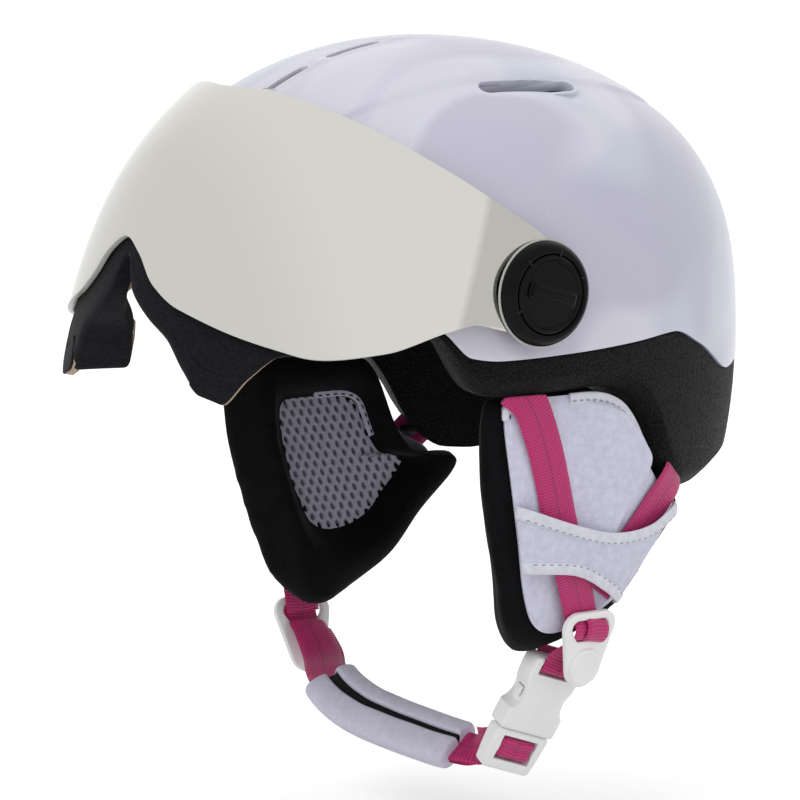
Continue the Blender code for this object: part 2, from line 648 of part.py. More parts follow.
def comfort_pads():
    seat = LINER_INSET + PAD_SEAT
    dark = (0.02, 0.02, 0.022)
    paint(liner_pad("brow_pad", BROW_PAD, PAD_THICKNESS, seat, 14, 5), dark, 0.95)
    first, last, low, high = SIDE_PAD
    paint(liner_pad("left_side_pad", SIDE_PAD, PAD_THICKNESS, seat, 9, 5), dark, 0.95)
    paint(liner_pad("right_side_pad", (-first, -last, low, high), PAD_THICKNESS, seat, 9, 5), dark, 0.95)
    middle, radius = CROWN_PAD
    count = 20
    rings = []
    faces = ((0.35, 0), (0.7, 0), (1, 0), (1, 0.3), (0.9, 0.75), (0.65, 1), (0.3, 1))
    for share, full in faces:
        ring = []
        for i in range(count):
            turn = 2 * math.pi * i / count
            x = radius * share * math.cos(turn)
            y = middle + radius * share * math.sin(turn)
            ring.append(Vector((x, y, dome_height(x, y, seat + PAD_THICKNESS * full))))
        rings.append(ring)
    top = Vector((0, middle, dome_height(0, middle, seat)))
    under = Vector((0, middle, dome_height(0, middle, seat + PAD_THICKNESS)))
    paint(solid("crown_pad", rings, top, under), dark, 0.95)


# Size adjuster

def fit_system():
    seat = LINER_INSET + PAD_SEAT
    low = CRADLE_TOP - CRADLE_HEIGHT
    rings = []
    columns = 14
    for i in range(columns + 1):
        u = 2 * i / columns - 1
        angle = 180 + CRADLE_SPAN * u
        narrow = 1 - 0.45 * abs(u) ** 3
        middle = (CRADLE_TOP + low) / 2
        heights = [middle + CRADLE_HEIGHT / 2 * narrow * h for h in (-1, 0, 1)]
        rings.append([dome(angle, z, seat) for z in heights]
                     + [dome(angle, z, seat + CRADLE_WALL) for z in reversed(heights)])
    paint(solid("fit_cradle", rings), (0.05, 0.05, 0.055), 0.5)

    patch = (180 - NAPE_PAD_SPAN, 180 + NAPE_PAD_SPAN, (CRADLE_TOP - 2 * MM) / MM, (low + 2 * MM) / MM)
    pad = liner_pad("nape_pad", patch, PAD_THICKNESS, seat + CRADLE_WALL + GAP, 10, 4)
    paint(pad, (0.02, 0.02, 0.022), 0.95)

    width, depth, tall = HOUSING
    corner = math.degrees(math.asin(width / 2 / (SHELL_HALF_WIDTH - seat)))
    top = low - GAP
    rings = []
    columns = 10
    for i in range(columns + 1):
        u = 2 * i / columns - 1
        trim = HOUSING_ROUND * abs(u) ** 4
        heights = [top - trim, top - tall / 2, top - tall + 2 * trim]
        face = depth - trim
        rings.append([dome(180 + corner * u, z, seat) for z in heights]
                     + [dome(180 + corner * u, z, seat + face) for z in reversed(heights)])
    paint(solid("fit_housing", rings), (0.04, 0.04, 0.045), 0.5)
    back = dome(180, top - DIAL_DROP + DIAL_RADIUS, seat).y

    rings = []
    axis = Vector((0, back + GAP, top - DIAL_DROP))
    for reach, share in ((0, 0.93), (0.15, 1), (0.8, 1), (1, 0.9)):
        ring = []
        for i in range(DIAL_TEETH * 2):
            turn = math.pi * i / DIAL_TEETH
            radius = DIAL_RADIUS * share - (1 * MM if i % 2 else 0)
            ring.append(axis + Vector((radius * math.cos(turn), DIAL_WIDTH * reach, radius * math.sin(turn))))
        rings.append(ring)
    dial = solid("fit_dial", rings)
    move_origin(dial, axis)
    paint(dial, (0.03, 0.03, 0.03), 0.4)


# Ear pads

def ear_level():
    """Height that the ear pads hang from: the liner's lower edge over the ear."""
    return liner_rim(90)


def ear_face(y, z):
    """Distance of the ear cover's face from the middle plane."""
    widest = SHELL_HALF_WIDTH - EAR_INSET
    drop = z - ear_level()
    return widest - EAR_LEAN * drop * drop - EAR_CURL * (y - 5 * MM) ** 2


def ear_point(side, y, z, depth):
    """Point at a depth behind the ear cover's face, or in front of it if negative."""
    return Vector((side * (ear_face(y, z) - depth), y, z))


def ear_outline(points, count):
    level = ear_level()
    return [Vector((y, z + level, 0)) for y, z, _ in
            spline([(y * MM, z * MM, 0) for y, z in points], count, loop=True)]


def lobe(place, middle, low):
    """How much of the hanging lobe a place of the ear pad's outline takes part in."""
    along, half = EAR_LOBE
    down = max(0.0, (middle.y - place.y) / (middle.y - low))
    return down ** 3 * math.exp(-((place.x - along) / half) ** 2)


def pillow(name, side, outline, centre, layers, drops=None):
    """Padded piece: rings that shrink towards a centre, each at its own depth and drop."""
    middle = Vector((centre[0] * MM, centre[1] * MM + ear_level(), 0))
    low = min(p.y for p in outline)
    drops = drops or {}
    rings = []
    for share, depth in layers[1:-1]:
        places = [middle + (p - middle) * share for p in outline]
        sag = drops.get((share, depth), 0)
        rings.append([ear_point(side, p.x, p.y - sag * lobe(p, middle, low), depth) for p in places])
    poles = [ear_point(side, middle.x, middle.y, depth) for depth in (layers[0][1], layers[-1][1])]
    return solid(name, rings, *poles)


def ear_pad(side, label):
    outline = ear_outline(EAR_OUTLINE, EAR_POINTS)
    back = COVER_WALL + 3 * GAP
    deep = CUSHION_THICKNESS
    well = EAR_WELL_SIZE
    full = (0.98, deep * 0.62)
    round_over = (0.9, deep * 0.9)
    cushion = pillow(label + "_ear_cushion", side, outline, WELL_CENTRE, (
        (0, back), (0.5, back), (0.86, back), (0.97, back + 2 * MM), (1, back + 6 * MM), full,
        round_over, (0.8, deep), (0.68, deep * 0.92), (well + 0.06, EAR_WELL + 3 * MM),
        (well, EAR_WELL), (well * 0.6, EAR_WELL), (0, EAR_WELL)),
        {full: EAR_LOBE_DROP, round_over: EAR_LOBE_DROP})
    paint(cushion, (0.012, 0.012, 0.013), 0.95)

    panel = ear_outline(COVER_OUTLINE, EAR_POINTS)
    cover = pillow(label + "_ear_cover", side, panel, EAR_CENTRE, (
        (0, 0), (0.5, 0), (0.93, 0.2 * MM), (1, 1 * MM), (1, COVER_WALL), (0.6, COVER_WALL), (0, COVER_WALL)))
    paint(cover, (0.74, 0.72, 0.86), 0.85)

    window = [EAR_WELL + 2 * GAP + d for d in (0, MESH_WALL)]
    size = well - 0.07
    mesh = pillow(label + "_ear_mesh", side, outline, WELL_CENTRE, (
        (0, window[0]), (size * 0.6, window[0]), (size, window[0]), (size * 0.97, window[1]),
        (size * 0.5, window[1] + 1 * MM), (0, window[1] + 1.2 * MM)))
    paint(mesh, (0.35, 0.35, 0.40), 0.8)
    pocket_band(side, label)


def pocket_band(side, label):
    """Cloth band across the cover that the straps run behind: low at its sewn ends."""
    level = ear_level()
    steps = POCKET_STEPS
    tops = spline([(y * MM, z * MM + level, 0) for y, z in POCKET_TOP], steps + 1)
    lows = spline([(y * MM, z * MM + level, 0) for y, z in POCKET_BOTTOM], steps + 1)
    rings = []
    for i, (top, low) in enumerate(zip(tops, lows)):
        rise = GAP + (POCKET_RISE - GAP) * math.sin(math.pi * i / steps) ** 0.2
        places = [low.lerp(top, j / 3) for j in range(4)]
        rings.append([ear_point(side, p.x, p.y, -rise - POCKET_WALL) for p in places]
                     + [ear_point(side, p.x, p.y, -rise) for p in reversed(places)])
    paint(solid(label + "_ear_pocket_band", rings), (0.76, 0.74, 0.88), 0.85)


# Straps

def ribbon(name, points, acrosses, width, wall):
    """Flat webbing along a row of points, with its width laid along the given directions."""
    rings = []
    last = len(points) - 1
    for i, (point, across) in enumerate(zip(points, acrosses)):
        ahead = (points[min(i + 1, last)] - points[max(i - 1, 0)]).normalized()
        half = (across - ahead * across.dot(ahead)).normalized() * width / 2
        out = half.cross(ahead).normalized() * wall / 2
        rings.append([point + half + out, point - half + out, point - half - out, point + half - out])
    return solid(name, rings)


def directions(points):
    last = len(points) - 1
    return [(points[min(i + 1, last)] - points[max(i - 1, 0)]).normalized() for i in range(last + 1)]


def ear_normal(side, y, z):
    step = 1 * MM
    lean = (ear_face(y, z + step) - ear_face(y, z - step)) / (2 * step)
    curl = (ear_face(y + step, z) - ear_face(y - step, z)) / (2 * step)
    return Vector((side, -curl, -lean)).normalized()


def strap_on_pad(name, side, route, lifts, count):
    """Webbing that follows the ear pad's face, each point at its own lift from it."""
    places = spline([(y, z, lift) for (y, z), lift in zip(route, lifts)], count)
    half = WEBBING[1] / 2
    points = [ear_point(side, p.x, p.y, -p.z - half) for p in places]
    acrosses = [ahead.cross(ear_normal(side, p.x, p.y)) for p, ahead in zip(places, directions(points))]
    return ribbon(name, points, acrosses, *WEBBING)


def inside_edge(edge, distance):
    """Route at a distance ahead of a strap's rear edge, which keeps its place by the pad's seam."""
    run = (Vector(edge[-1]) - Vector(edge[0])).normalized()
    ahead = Vector((run.y, -run.x)) * distance
    return [(y * MM + ahead.x, z * MM + ahead.y) for y, z in edge]


def ear_straps(side, label):
    level = ear_level()
    magenta = (0.58, 0.02, 0.11)
    y, z = DIVIDER_PLACE[side]
    wall = WEBBING[1]
    under = GAP
    over = 2 * GAP + wall
    front = [(a * MM, b * MM + level) for a, b in FRONT_STRAP]
    end = (y - 1 * MM, z + DIVIDER_EYE[0])
    front += [end]
    lifts = [under, under, under, over, over + 0.2 * MM]
    strap = strap_on_pad(label + "_front_strap", side, front, lifts, 18)
    paint(strap, magenta, 0.6)
    rear = [(a, b + level) for a, b in inside_edge(REAR_STRAP, WEBBING[0] / 2)]
    strap = strap_on_pad(label + "_rear_strap", side, rear, [under] * len(rear), 12)
    paint(strap, magenta, 0.6)
    for kind, (a, b), (c, d) in (("front", front[0], front[1]), ("rear", rear[0], rear[1])):
        along = Vector((0, a - c, b - d)).normalized()
        anchor = 1.5 * GAP + ANCHOR_HEIGHT / 2
        spot = ear_point(side, a, b, -under - wall / 2 - 0.3 * MM) + along * anchor
        face = ear_normal(side, a, b)
        across = face.cross(along).normalized()
        frame = Matrix((across, face, along)).transposed().to_4x4()
        size = (WEBBING[0] + 2 * MM, wall + 0.6 * MM, ANCHOR_HEIGHT - GAP)
        clip = block(f"{label}_{kind}_strap_anchor", size, Matrix.Translation(spot) @ frame, 0.4 * MM)
        paint(clip, (0.25, 0.25, 0.27), 0.4)


def wrapped(circles, count):
    """Outline of a band stretched round circles."""
    points = []
    for i in range(count):
        turn = 2 * math.pi * i / count
        c, s = math.cos(turn), math.sin(turn)
        x, y, r = max(circles, key=lambda k: k[0] * c + k[1] * s + k[2])
        points.append((x + r * c, y + r * s))
    return points


def divider_eye():
    """Circles that the divider's eye wraps: webbing passes between its sides."""
    half = WEBBING[0] / 2 + 2 * STRAP_ROOM
    height, radius = DIVIDER_EYE
    foot, foot_radius = DIVIDER_EYE_FOOT
    top = half - radius
    low = half - radius - foot_radius + 0.1 * MM
    upper = ((-top, height, radius), (top, height, radius))
    return upper + ((-low, foot, foot_radius), (low, foot, foot_radius))


def divider_ring():
    """Circles that the divider's outline wraps: two shoulders and the foot under its button."""
    height, radius = DIVIDER_SHOULDER
    half = WEBBING[0] / 2 + 2 * STRAP_ROOM + DIVIDER_RAIL - radius
    return ((-half, height, radius), (half, height, radius), (0, BUTTON[0], BUTTON[1] + BUTTON_BORDER))


def divider_frame(side):
    """Frame of a strap divider: across the strap, out from the cheek, and up."""
    y, z = DIVIDER_PLACE[side]
    face = ear_normal(side, y, z)
    up = (Vector((0, 0, 1)) - face * face.z).normalized()
    across = up.cross(face).normalized()
    centre = ear_point(side, y, z, -DIVIDER_LIFT - DIVIDER_WALL / 2)
    return Matrix.Translation(centre) @ Matrix((across, face, up)).transposed().to_4x4()


def strap_divider(side, label):
    """Ring that gathers the two straps, with a round button under its eye."""
    frame = divider_frame(side)
    outer = wrapped(divider_ring(), 28)
    inner = wrapped(divider_eye(), 28)
    half = DIVIDER_WALL / 2
    rings = [[frame @ Vector((u, w, v)) for u, v in shape]
             for shape, w in ((outer, -half), (outer, half), (inner, half), (inner, -half))]
    divider = solid(label + "_strap_divider", rings, closed=True)
    top = half + BUTTON_RISE
    z, radius = BUTTON
    rings = [[frame @ Vector((u, w, v)) for u, v in wrapped(((0, z, size),), 18)]
             for w, size in ((0, radius), (top - 0.4 * MM, radius), (top, radius - 0.5 * MM))]
    boolean(divider, solid(label + "_divider_button", rings), "UNION")
    paint(divider, (0.85, 0.85, 0.84), 0.3)


def buckle_frame():
    """Frame of the side-release buckle: across, out from the cheek, and up its length."""
    up = Vector(BUCKLE_AXIS).normalized()
    face = Vector(BUCKLE_FACE)
    face = (face - up * face.dot(up)).normalized()
    across = face.cross(up).normalized()
    middle = divider_frame(LEFT).translation + Vector(BUCKLE_OFFSET)
    return Matrix.Translation(middle) @ Matrix((across, face, up)).transposed().to_4x4()


def at(frame, x, y, z):
    return frame @ Matrix.Translation((x, y, z))


def webbing_room():
    """Depth of a recess that webbing lies in, flush with the buckle's face."""
    return WEBBING[1] + 2 * GAP


def buckle_female():
    frame = buckle_frame()
    thick, tall = FEMALE
    body = block("buckle_female", (BUCKLE_WIDTH, thick, tall), frame, 1.8 * MM)
    mouth_thick, deep = FEMALE_MOUTH
    boolean(body, block("female_mouth", (MOUTH_WIDTH, mouth_thick, deep + 10 * MM),
                        at(frame, 0, 0, -tall / 2 + deep / 2 - 5 * MM)))
    boolean(body, block("female_windows", (BUCKLE_WIDTH * 1.5, mouth_thick - 0.6 * MM, FEMALE_WINDOW),
                        at(frame, 0, 0, -tall / 2 + deep - FEMALE_WINDOW / 2 - 2.5 * MM)))
    low = tall / 2 - SLOT_BAR - SLOT
    boolean(body, block("female_slot", (SLOT_WIDTH, thick * 2, SLOT), at(frame, 0, 0, low + SLOT / 2)))
    depth = 2 * webbing_room()
    for place in (-thick / 2, thick / 2):
        boolean(body, block(f"female_recess_{place / MM:.0f}", (SLOT_WIDTH + 0.4 * MM, depth, tall),
                            at(frame, 0, place, low + tall / 2 + 0.4 * MM)))
    return paint(body, (0.85, 0.85, 0.84), 0.3)


def male_slots():
    """Heights of the upper slot, the bar and the lower slot of the male half, in the buckle's frame."""
    upper = -FEMALE[1] / 2 - GAP - SLOT_RAIL - SLOT / 2
    step = SLOT / 2 + SLOT_BAR / 2
    return upper, upper - step, upper - 2 * step


def buckle_male():
    frame = buckle_frame()
    thick, tall = MALE_BASE
    top = -FEMALE[1] / 2 - GAP
    body = block("buckle_male", (BUCKLE_WIDTH, thick, tall), at(frame, 0, 0, top - tall / 2), 1.6 * MM)
    half = MOUTH_WIDTH / 2 - PRONG_GAP - PRONG[0] / 2
    root = 2 * MM
    for place, wide in ((-half, PRONG[0]), (0, TONGUE_WIDTH), (half, PRONG[0])):
        boolean(body, block(f"male_prong_{place / MM:.0f}", (wide, PRONG[1], PRONG[2] + root),
                            at(frame, place, 0, top + (PRONG[2] - root) / 2), 0.8 * MM), "UNION")
    upper, bar, lower = male_slots()
    for place in (upper, lower):
        slot = (SLOT_WIDTH, thick * 2, SLOT)
        boolean(body, block(f"male_slot_{place / MM:.0f}", slot, at(frame, 0, 0, place)))
    size = (SLOT_WIDTH - 0.4 * MM, 2 * webbing_room(), upper - lower)
    boolean(body, block("male_recess", size, at(frame, 0, thick / 2, bar)))
    return paint(body, (0.85, 0.85, 0.84), 0.3)


def chin_route(count):
    """Route of the chin webbing from the right divider to the buckle, and the way its width lies."""
    start = divider_frame(RIGHT) @ Vector((0, -DIVIDER_WALL / 2 - 2 * GAP - WEBBING[1] / 2, -2 * MM))
    frame = buckle_frame()
    upper, bar, lower = male_slots()
    behind = -MALE_BASE[0] / 2
    front = MALE_BASE[0] / 2 - webbing_room() / 2
    into = frame @ Vector((0, behind - 2.5 * MM, upper))
    way = [Vector((share * SHELL_HALF_WIDTH, y * MM, z * MM)) for share, y, z in CHIN_ROUTE]
    points = spline([start, *way, into], count)
    middle = Vector(CHIN_MIDDLE)
    slot_across = frame.to_3x3() @ Vector((1, 0, 0))
    eye_across = divider_frame(RIGHT).to_3x3() @ Vector((-1, 0, 0))
    turning = count // 6
    acrosses = []
    for i, (point, ahead) in enumerate(zip(points, directions(points))):
        across = ahead.cross(point - middle).normalized()
        across = across.lerp(eye_across, max(0.0, 1 - i / turning))
        acrosses.append(across.lerp(slot_across, max(0.0, 1 - (count - 1 - i) / turning)))
    loop = ((front, upper), (front, bar), (front, lower), (behind - 1 * MM, lower),
            (behind - 4 * MM, lower - 1 * MM))
    for y, z in loop:
        points.append(frame @ Vector((0, y, z)))
        acrosses.append(slot_across)
    return points, acrosses


def chin_pieces():
    magenta = (0.58, 0.02, 0.11)
    count = 32
    points, acrosses = chin_route(count)
    paint(ribbon("chin_strap", points, acrosses, *WEBBING), magenta, 0.6)
    first, last = (round(share * (count - 1)) for share in CHIN_PAD_SPAN)
    beside, thick = CHIN_PAD
    width = WEBBING[0] + 2 * beside
    ways = directions(points)
    outer = []
    inner = []
    for i in range(first, last + 1, 2):
        across = (acrosses[i] - ways[i] * acrosses[i].dot(ways[i])).normalized()
        normal = across.cross(ways[i])
        share = (i - first) / (last - first)
        full = 0.82 + 0.18 * (1 - abs(2 * share - 1) ** 3)
        ring = []
        slot = []
        for step in range(CHIN_PAD_SIDES):
            turn = 2 * math.pi * step / CHIN_PAD_SIDES
            c, s = math.cos(turn), math.sin(turn)
            u = math.copysign(abs(c) ** 0.7, c)
            v = math.copysign(abs(s) ** 0.7, s)
            seam = CHIN_SEAM if step == CHIN_PAD_SIDES * 3 // 4 else 0
            ring.append(points[i] + across * u * width / 2 + normal * (v * thick / 2 * full + seam))
            slot.append(points[i] + across * u * (WEBBING[0] / 2 + 1.4 * MM)
                        + normal * v * (WEBBING[1] / 2 + 1 * MM))
        outer.append(ring)
        inner.append(slot)
    paint(solid("chin_pad", outer + list(reversed(inner)), closed=True), (0.7, 0.68, 0.8), 0.95)

    frame = divider_frame(LEFT)
    top = buckle_frame()
    level = FEMALE[1] / 2
    slot = level - SLOT_BAR - SLOT / 2
    side = FEMALE[0] / 2 - webbing_room() / 2
    behind = -DIVIDER_WALL / 2 - 2 * GAP - WEBBING[1] / 2
    route = [frame @ Vector((0, behind, -3 * MM)), frame @ Vector((0, behind - 0.4 * MM, -6 * MM)),
             top @ Vector((0, side, level + 2.5 * MM)), top @ Vector((0, side, level - 1 * MM))]
    points = spline(route, 10)
    across = top.to_3x3() @ Vector((1, 0, 0))
    start = frame.to_3x3() @ Vector((1, 0, 0))
    if start.dot(across) < 0:
        start = -start
    acrosses = [start.lerp(across, i / 9) for i in range(10)]
    for y, z in ((side, slot), (-side, slot), (-side, level - 1 * MM), (-side - 0.3 * MM, level + 2.5 * MM)):
        points.append(top @ Vector((0, y, z)))
        acrosses.append(across)
    paint(ribbon("buckle_strap", points, acrosses, *WEBBING), magenta, 0.6)


def main():
    for item in list(bpy.data.objects):
        bpy.data.objects.remove(item)
    outer_shell()
    eps_liner()
    visor_lens()
    visor_face_foam()
    comfort_pads()
    fit_system()
    for side, label in SIDES:
        pivot_pieces(side, label)
        ear_pad(side, label)
        ear_straps(side, label)
        strap_divider(side, label)
    buckle_female()
    buckle_male()
    chin_pieces()


main()
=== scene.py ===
"""Child's ski helmet with a flip-up visor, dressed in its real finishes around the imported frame.

Front is -Y, the wearer's left is +X, up is +Z, and every size is in metres.
"""
import math

import bpy
import numpy as np
from bpy.props import FloatProperty, FloatVectorProperty, PointerProperty
from mathutils import Matrix, Vector


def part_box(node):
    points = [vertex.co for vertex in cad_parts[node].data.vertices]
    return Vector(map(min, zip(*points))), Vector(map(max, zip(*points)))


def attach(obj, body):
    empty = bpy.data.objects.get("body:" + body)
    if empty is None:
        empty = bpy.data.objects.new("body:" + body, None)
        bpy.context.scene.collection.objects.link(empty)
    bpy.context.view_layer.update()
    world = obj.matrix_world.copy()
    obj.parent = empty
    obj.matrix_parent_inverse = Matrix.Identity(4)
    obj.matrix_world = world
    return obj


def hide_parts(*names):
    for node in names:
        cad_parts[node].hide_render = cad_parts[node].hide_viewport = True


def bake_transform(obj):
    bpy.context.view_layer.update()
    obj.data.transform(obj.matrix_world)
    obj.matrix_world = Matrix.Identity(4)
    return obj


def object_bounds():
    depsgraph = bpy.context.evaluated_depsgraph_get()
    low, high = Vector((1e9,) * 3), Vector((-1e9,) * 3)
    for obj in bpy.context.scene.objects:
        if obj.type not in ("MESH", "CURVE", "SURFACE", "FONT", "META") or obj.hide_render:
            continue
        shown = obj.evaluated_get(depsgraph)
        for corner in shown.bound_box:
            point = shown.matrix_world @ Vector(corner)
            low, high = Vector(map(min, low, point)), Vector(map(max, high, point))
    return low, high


bl_info = {
    "name": "Ski Helmet Dressing",
    "version": (1, 0, 0),
    "blender": (4, 5, 0),
    "location": "View3D > Sidebar > Helmet",
    "description": "Models the shell, visor, pads, straps and buckle of a child's ski helmet",
    "category": "Object",
}

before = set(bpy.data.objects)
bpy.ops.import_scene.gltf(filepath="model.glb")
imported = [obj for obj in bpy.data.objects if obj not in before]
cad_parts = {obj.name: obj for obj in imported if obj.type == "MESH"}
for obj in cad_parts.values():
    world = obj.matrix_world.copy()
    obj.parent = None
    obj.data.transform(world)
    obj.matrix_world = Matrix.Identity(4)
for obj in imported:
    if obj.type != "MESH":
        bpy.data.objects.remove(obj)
cad_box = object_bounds()

MM = 0.001
GAP = 0.35 * MM
LEFT = 1
RIGHT = -1
SIDES = ((LEFT, "left"), (RIGHT, "right"))

# Rim outlines: plan angle from the front in degrees, height in millimetres
SHELL_RIM = ((0, 38), (40, 36), (57, 29), (65, 18), (70, 9), (76, 7.5), (90, 8.3), (105, 10),
             (114.5, 11.5), (123, 5), (137, -8), (150, -5), (180, 0))
LINER_RIM = ((0, 31), (40, 29), (56, 22), (63, 15), (68.5, 0.5), (72, -5.5), (78, -7), (97, -6),
             (102, -7.5), (106, -11), (109, -17), (112, -26), (115, -37), (119, -46), (124, -50.5),
             (130, -51), (138, -48.5), (150, -46), (180, -42))

# Moulded crease over each side of the shell: y and x in millimetres
CREASE = ((-95, 30), (-56, 43), (-30, 47.5), (0, 48.7), (18, 48.7), (39, 47.5), (60, 42), (82, 34), (105, 20))

# Vents through the shell and liner: middle x and y, length and width in millimetres
VENTS = ((52.5, 17, 44, 7), (-52.5, 17, 44, 7), (0, -26, 24, 4.4), (0, -57, 20, 4.4))

# Middle of the visor's axis
PIVOT = Vector((0, -15.8 * MM, 32.7 * MM))

# Visor edges: share of the way from the middle to a pivot, height in the visor's plane in millimetres
LENS_TOP = ((0, 18.5), (0.15, 21.5), (0.35, 22), (0.6, 20.5), (0.8, 18.8), (0.9, 18.4), (1, 17.2))
LENS_BOTTOM = ((0, -50.7), (0.06, -55.9), (0.12, -65), (0.2, -70), (0.32, -71.2), (0.5, -67.7),
               (0.68, -51.2), (0.8, -32.2), (0.87, -24.2), (0.92, -22.4), (1, -21.05))

# Face foam: share along the visor, then heights in its plane or depth, in millimetres
FOAM_HIGH = ((0, -36), (0.1, -46), (0.2, -54), (0.35, -56), (0.5, -52), (0.6, -47))
FOAM_LOW = ((0, -56), (0.04, -68), (0.1, -75), (0.165, -80), (0.22, -88), (0.28, -94), (0.34, -94),
            (0.4, -82), (0.46, -70), (0.52, -65), (0.6, -57))
FOAM_DEPTH = ((0, 7), (0.1, 13), (0.2, 24), (0.3, 28), (0.36, 26), (0.44, 14), (0.6, 5))
LOBE_STEP = ((0, 0), (0.26, 0), (0.3, 5), (0.36, 5.4), (0.41, 5), (0.46, 0), (0.6, 0))

# Section of the face foam: share of its height, share of its depth
FOAM_SHAPE = ((0, 0.02), (1, 0.02), (1, 0.3), (0.62, 0.5), (0.34, 0.8), (0.2, 1), (0, 1), (0, 0.45))

# Layers on the foam's lobe: name, finish, then corners by height and by millimetres in from the lens
FOAM_LAYERS = (("skin", "foam", ((0, 0.1), (9, 0.1), (9, 1.3), (0, 1.3))),
               ("core", "foam_core", ((0.3, 1.2), (9, 1.2), (9, 5.2), (0.3, 5.2))))

# Ear pad outlines and their centres in millimetres: y, and z from the liner's lower edge at the side
EAR_OUTLINE = ((-27, -2), (0, -1.6), (22, -2), (33, -7), (38, -17), (43, -32), (50, -44),
               (60, -47.5), (70, -49), (67, -56.5), (53, -71), (37, -88), (18, -96.5), (0, -97.5),
               (-13, -90), (-20, -75), (-26, -56), (-31, -32), (-32, -10))
COVER_OUTLINE = ((-20, -3.2), (4, -2), (20, -2.6), (31, -6.5), (38, -13), (44, -22), (50, -33),
                 (57, -41), (66, -47.5), (64, -56), (51, -70), (36, -84), (13, -93), (0, -91), (-7.5, -78),
                 (-13, -56), (-18.5, -30), (-21.5, -12))
PANEL_OUTLINE = ((8, -4.5), (20, -4.5), (30, -8), (38, -14.5), (44.5, -22.5), (48.5, -30.5), (41, -42),
                 (32, -54), (27, -62), (12, -62), (9, -45), (7, -25))
COVER_CENTRE = (12, -45)
WELL_CENTRE = (25, -46)
PANEL_CENTRE = (26, -32)
POCKET_TOP = ((-17, -43.6), (9, -53), (28, -57.5), (48, -56.5), (65, -49.5))
POCKET_BOTTOM = ((-12, -66.6), (10, -68.7), (25, -76), (35, -83.5))

# Size of the ear well, as a share of the pad's outline
WELL_SHARE = 0.575

# Ear cushion from its back round to its well: share of the outline, depth in millimetres, share of the lobe
CUSHION_LAYERS = ((0.02, 3.6, 0), (0.5, 3.6, 0), (0.86, 3.7, 0), (0.97, 4.2, 0), (1.015, 5.6, 0.1),
                  (1.02, 9, 0.4), (1.0, 13, 0.9), (0.965, 17, 1), (0.93, 20.3, 1), (0.87, 22.8, 0.6),
                  (0.8, 23.6, 0.2), (0.72, 22.8, 0), (0.66, 20.6, 0), (0.61, 17.4, 0), (0.575, 14.4, 0),
                  (0.53, 12.6, 0), (0.4, 12.2, 0), (0.02, 12.2, 0))

# Straps in millimetres: y and z as on the ear pads, the dividers' y and z, and the chin strap's x, y and z
FRONT_STRAP = ((-20, 3), (-13.5, -3), (-9.5, -11), (-4, -25), (3, -48), (8, -64))
REAR_STRAP = ((68, -33), (62.5, -39.5), (51, -51), (41, -61.5), (31, -72), (26, -79))
DIVIDER_PLACE = {LEFT: (20, -100), RIGHT: (9, -116)}
CHIN_ROUTE = ((-66, 6, -127.5), (-52, -2, -132), (-35, -8, -136.5), (-20, -8.5, -141), (-6, -6.5, -144),
              (13, -3, -147), (31, 0, -149), (41, 2.5, -148.5))

# Point inside the jaw that the chin strap lies round
JAW = Vector((0, -50 * MM, -90 * MM))

# Half of a strap divider's thickness
DIVIDER_HALF = 1.3 * MM

# Strap dividers in millimetres: circles that their ring and eye are drawn round, and the button's profile
RING_CIRCLES = ((-6.5, 2.5, 6), (6.5, 2.5, 6), (0, -13.4, 8.4))
EYE_CIRCLES = ((-6, 2.6, 2.9), (6, 2.6, 2.9), (-4.5, -1.6, 1.6), (4.5, -1.6, 1.6))
BUTTON_PROFILE = ((7.4, 0.6), (7.4, 1.9), (7.1, 2.25), (6.5, 2.35), (5.9, 2.3), (5.5, 2.0), (5.1, 1.85),
                  (3.0, 1.9), (0.05, 1.95))

# Layers of webbing folded through a divider: shift, width, and the way out and up that each one takes
DIVIDER_FOLDS = (
    (0, 15, ((-2.6, 7.5), (-2.2, 5.6), (0.2, 4.2), (1.3, 2.4), (1.2, 0.4), (0.4, -1.6), (-1.6, -2.6),
             (-2.6, -4.4))),
    (2.6, 11, ((-0.6, 5.4), (1.2, 4.7), (2.6, 3.2), (2.9, 1.2), (2.6, -0.8), (1.4, -2.6), (-0.4, -3.4))),
)

# Buckle outlines, right half, and its levels, in millimetres across and along it
SOCKET_OUTLINE = ((8.4, 15.4), (10.6, 15.2), (11.4, 14), (11.4, 9), (10.9, 5), (11.2, 0), (12.3, -6),
                  (12.5, -11), (12.3, -15.3), (11.2, -15.5))
PRONG_TOP = -31 / 2 - 0.35
PRONG_OUTLINE = ((12.2, 0), (12.2, -4), (11.6, -11), (10.9, -16), (9.6, -17))
ARM_OUTLINE = ((4.6, -1), (4.6, 12), (7.2, 17), (10.0, 17.5), (10.6, 13.5), (8.6, 8.5), (8.2, -1))
PRONG_SLOT = PRONG_TOP - 2.6 - 1.7
SLOT_STEP = 6.8


def length(name, description, default):
    """A length that can be changed in the panel."""
    return FloatProperty(name=name, description=description, default=default, unit="LENGTH")


def tint(name, description, colour):
    """A colour that can be changed in the panel."""
    return FloatVectorProperty(name=name, description=description, default=(*colour, 1), size=4,
                               subtype="COLOR", min=0, max=1)


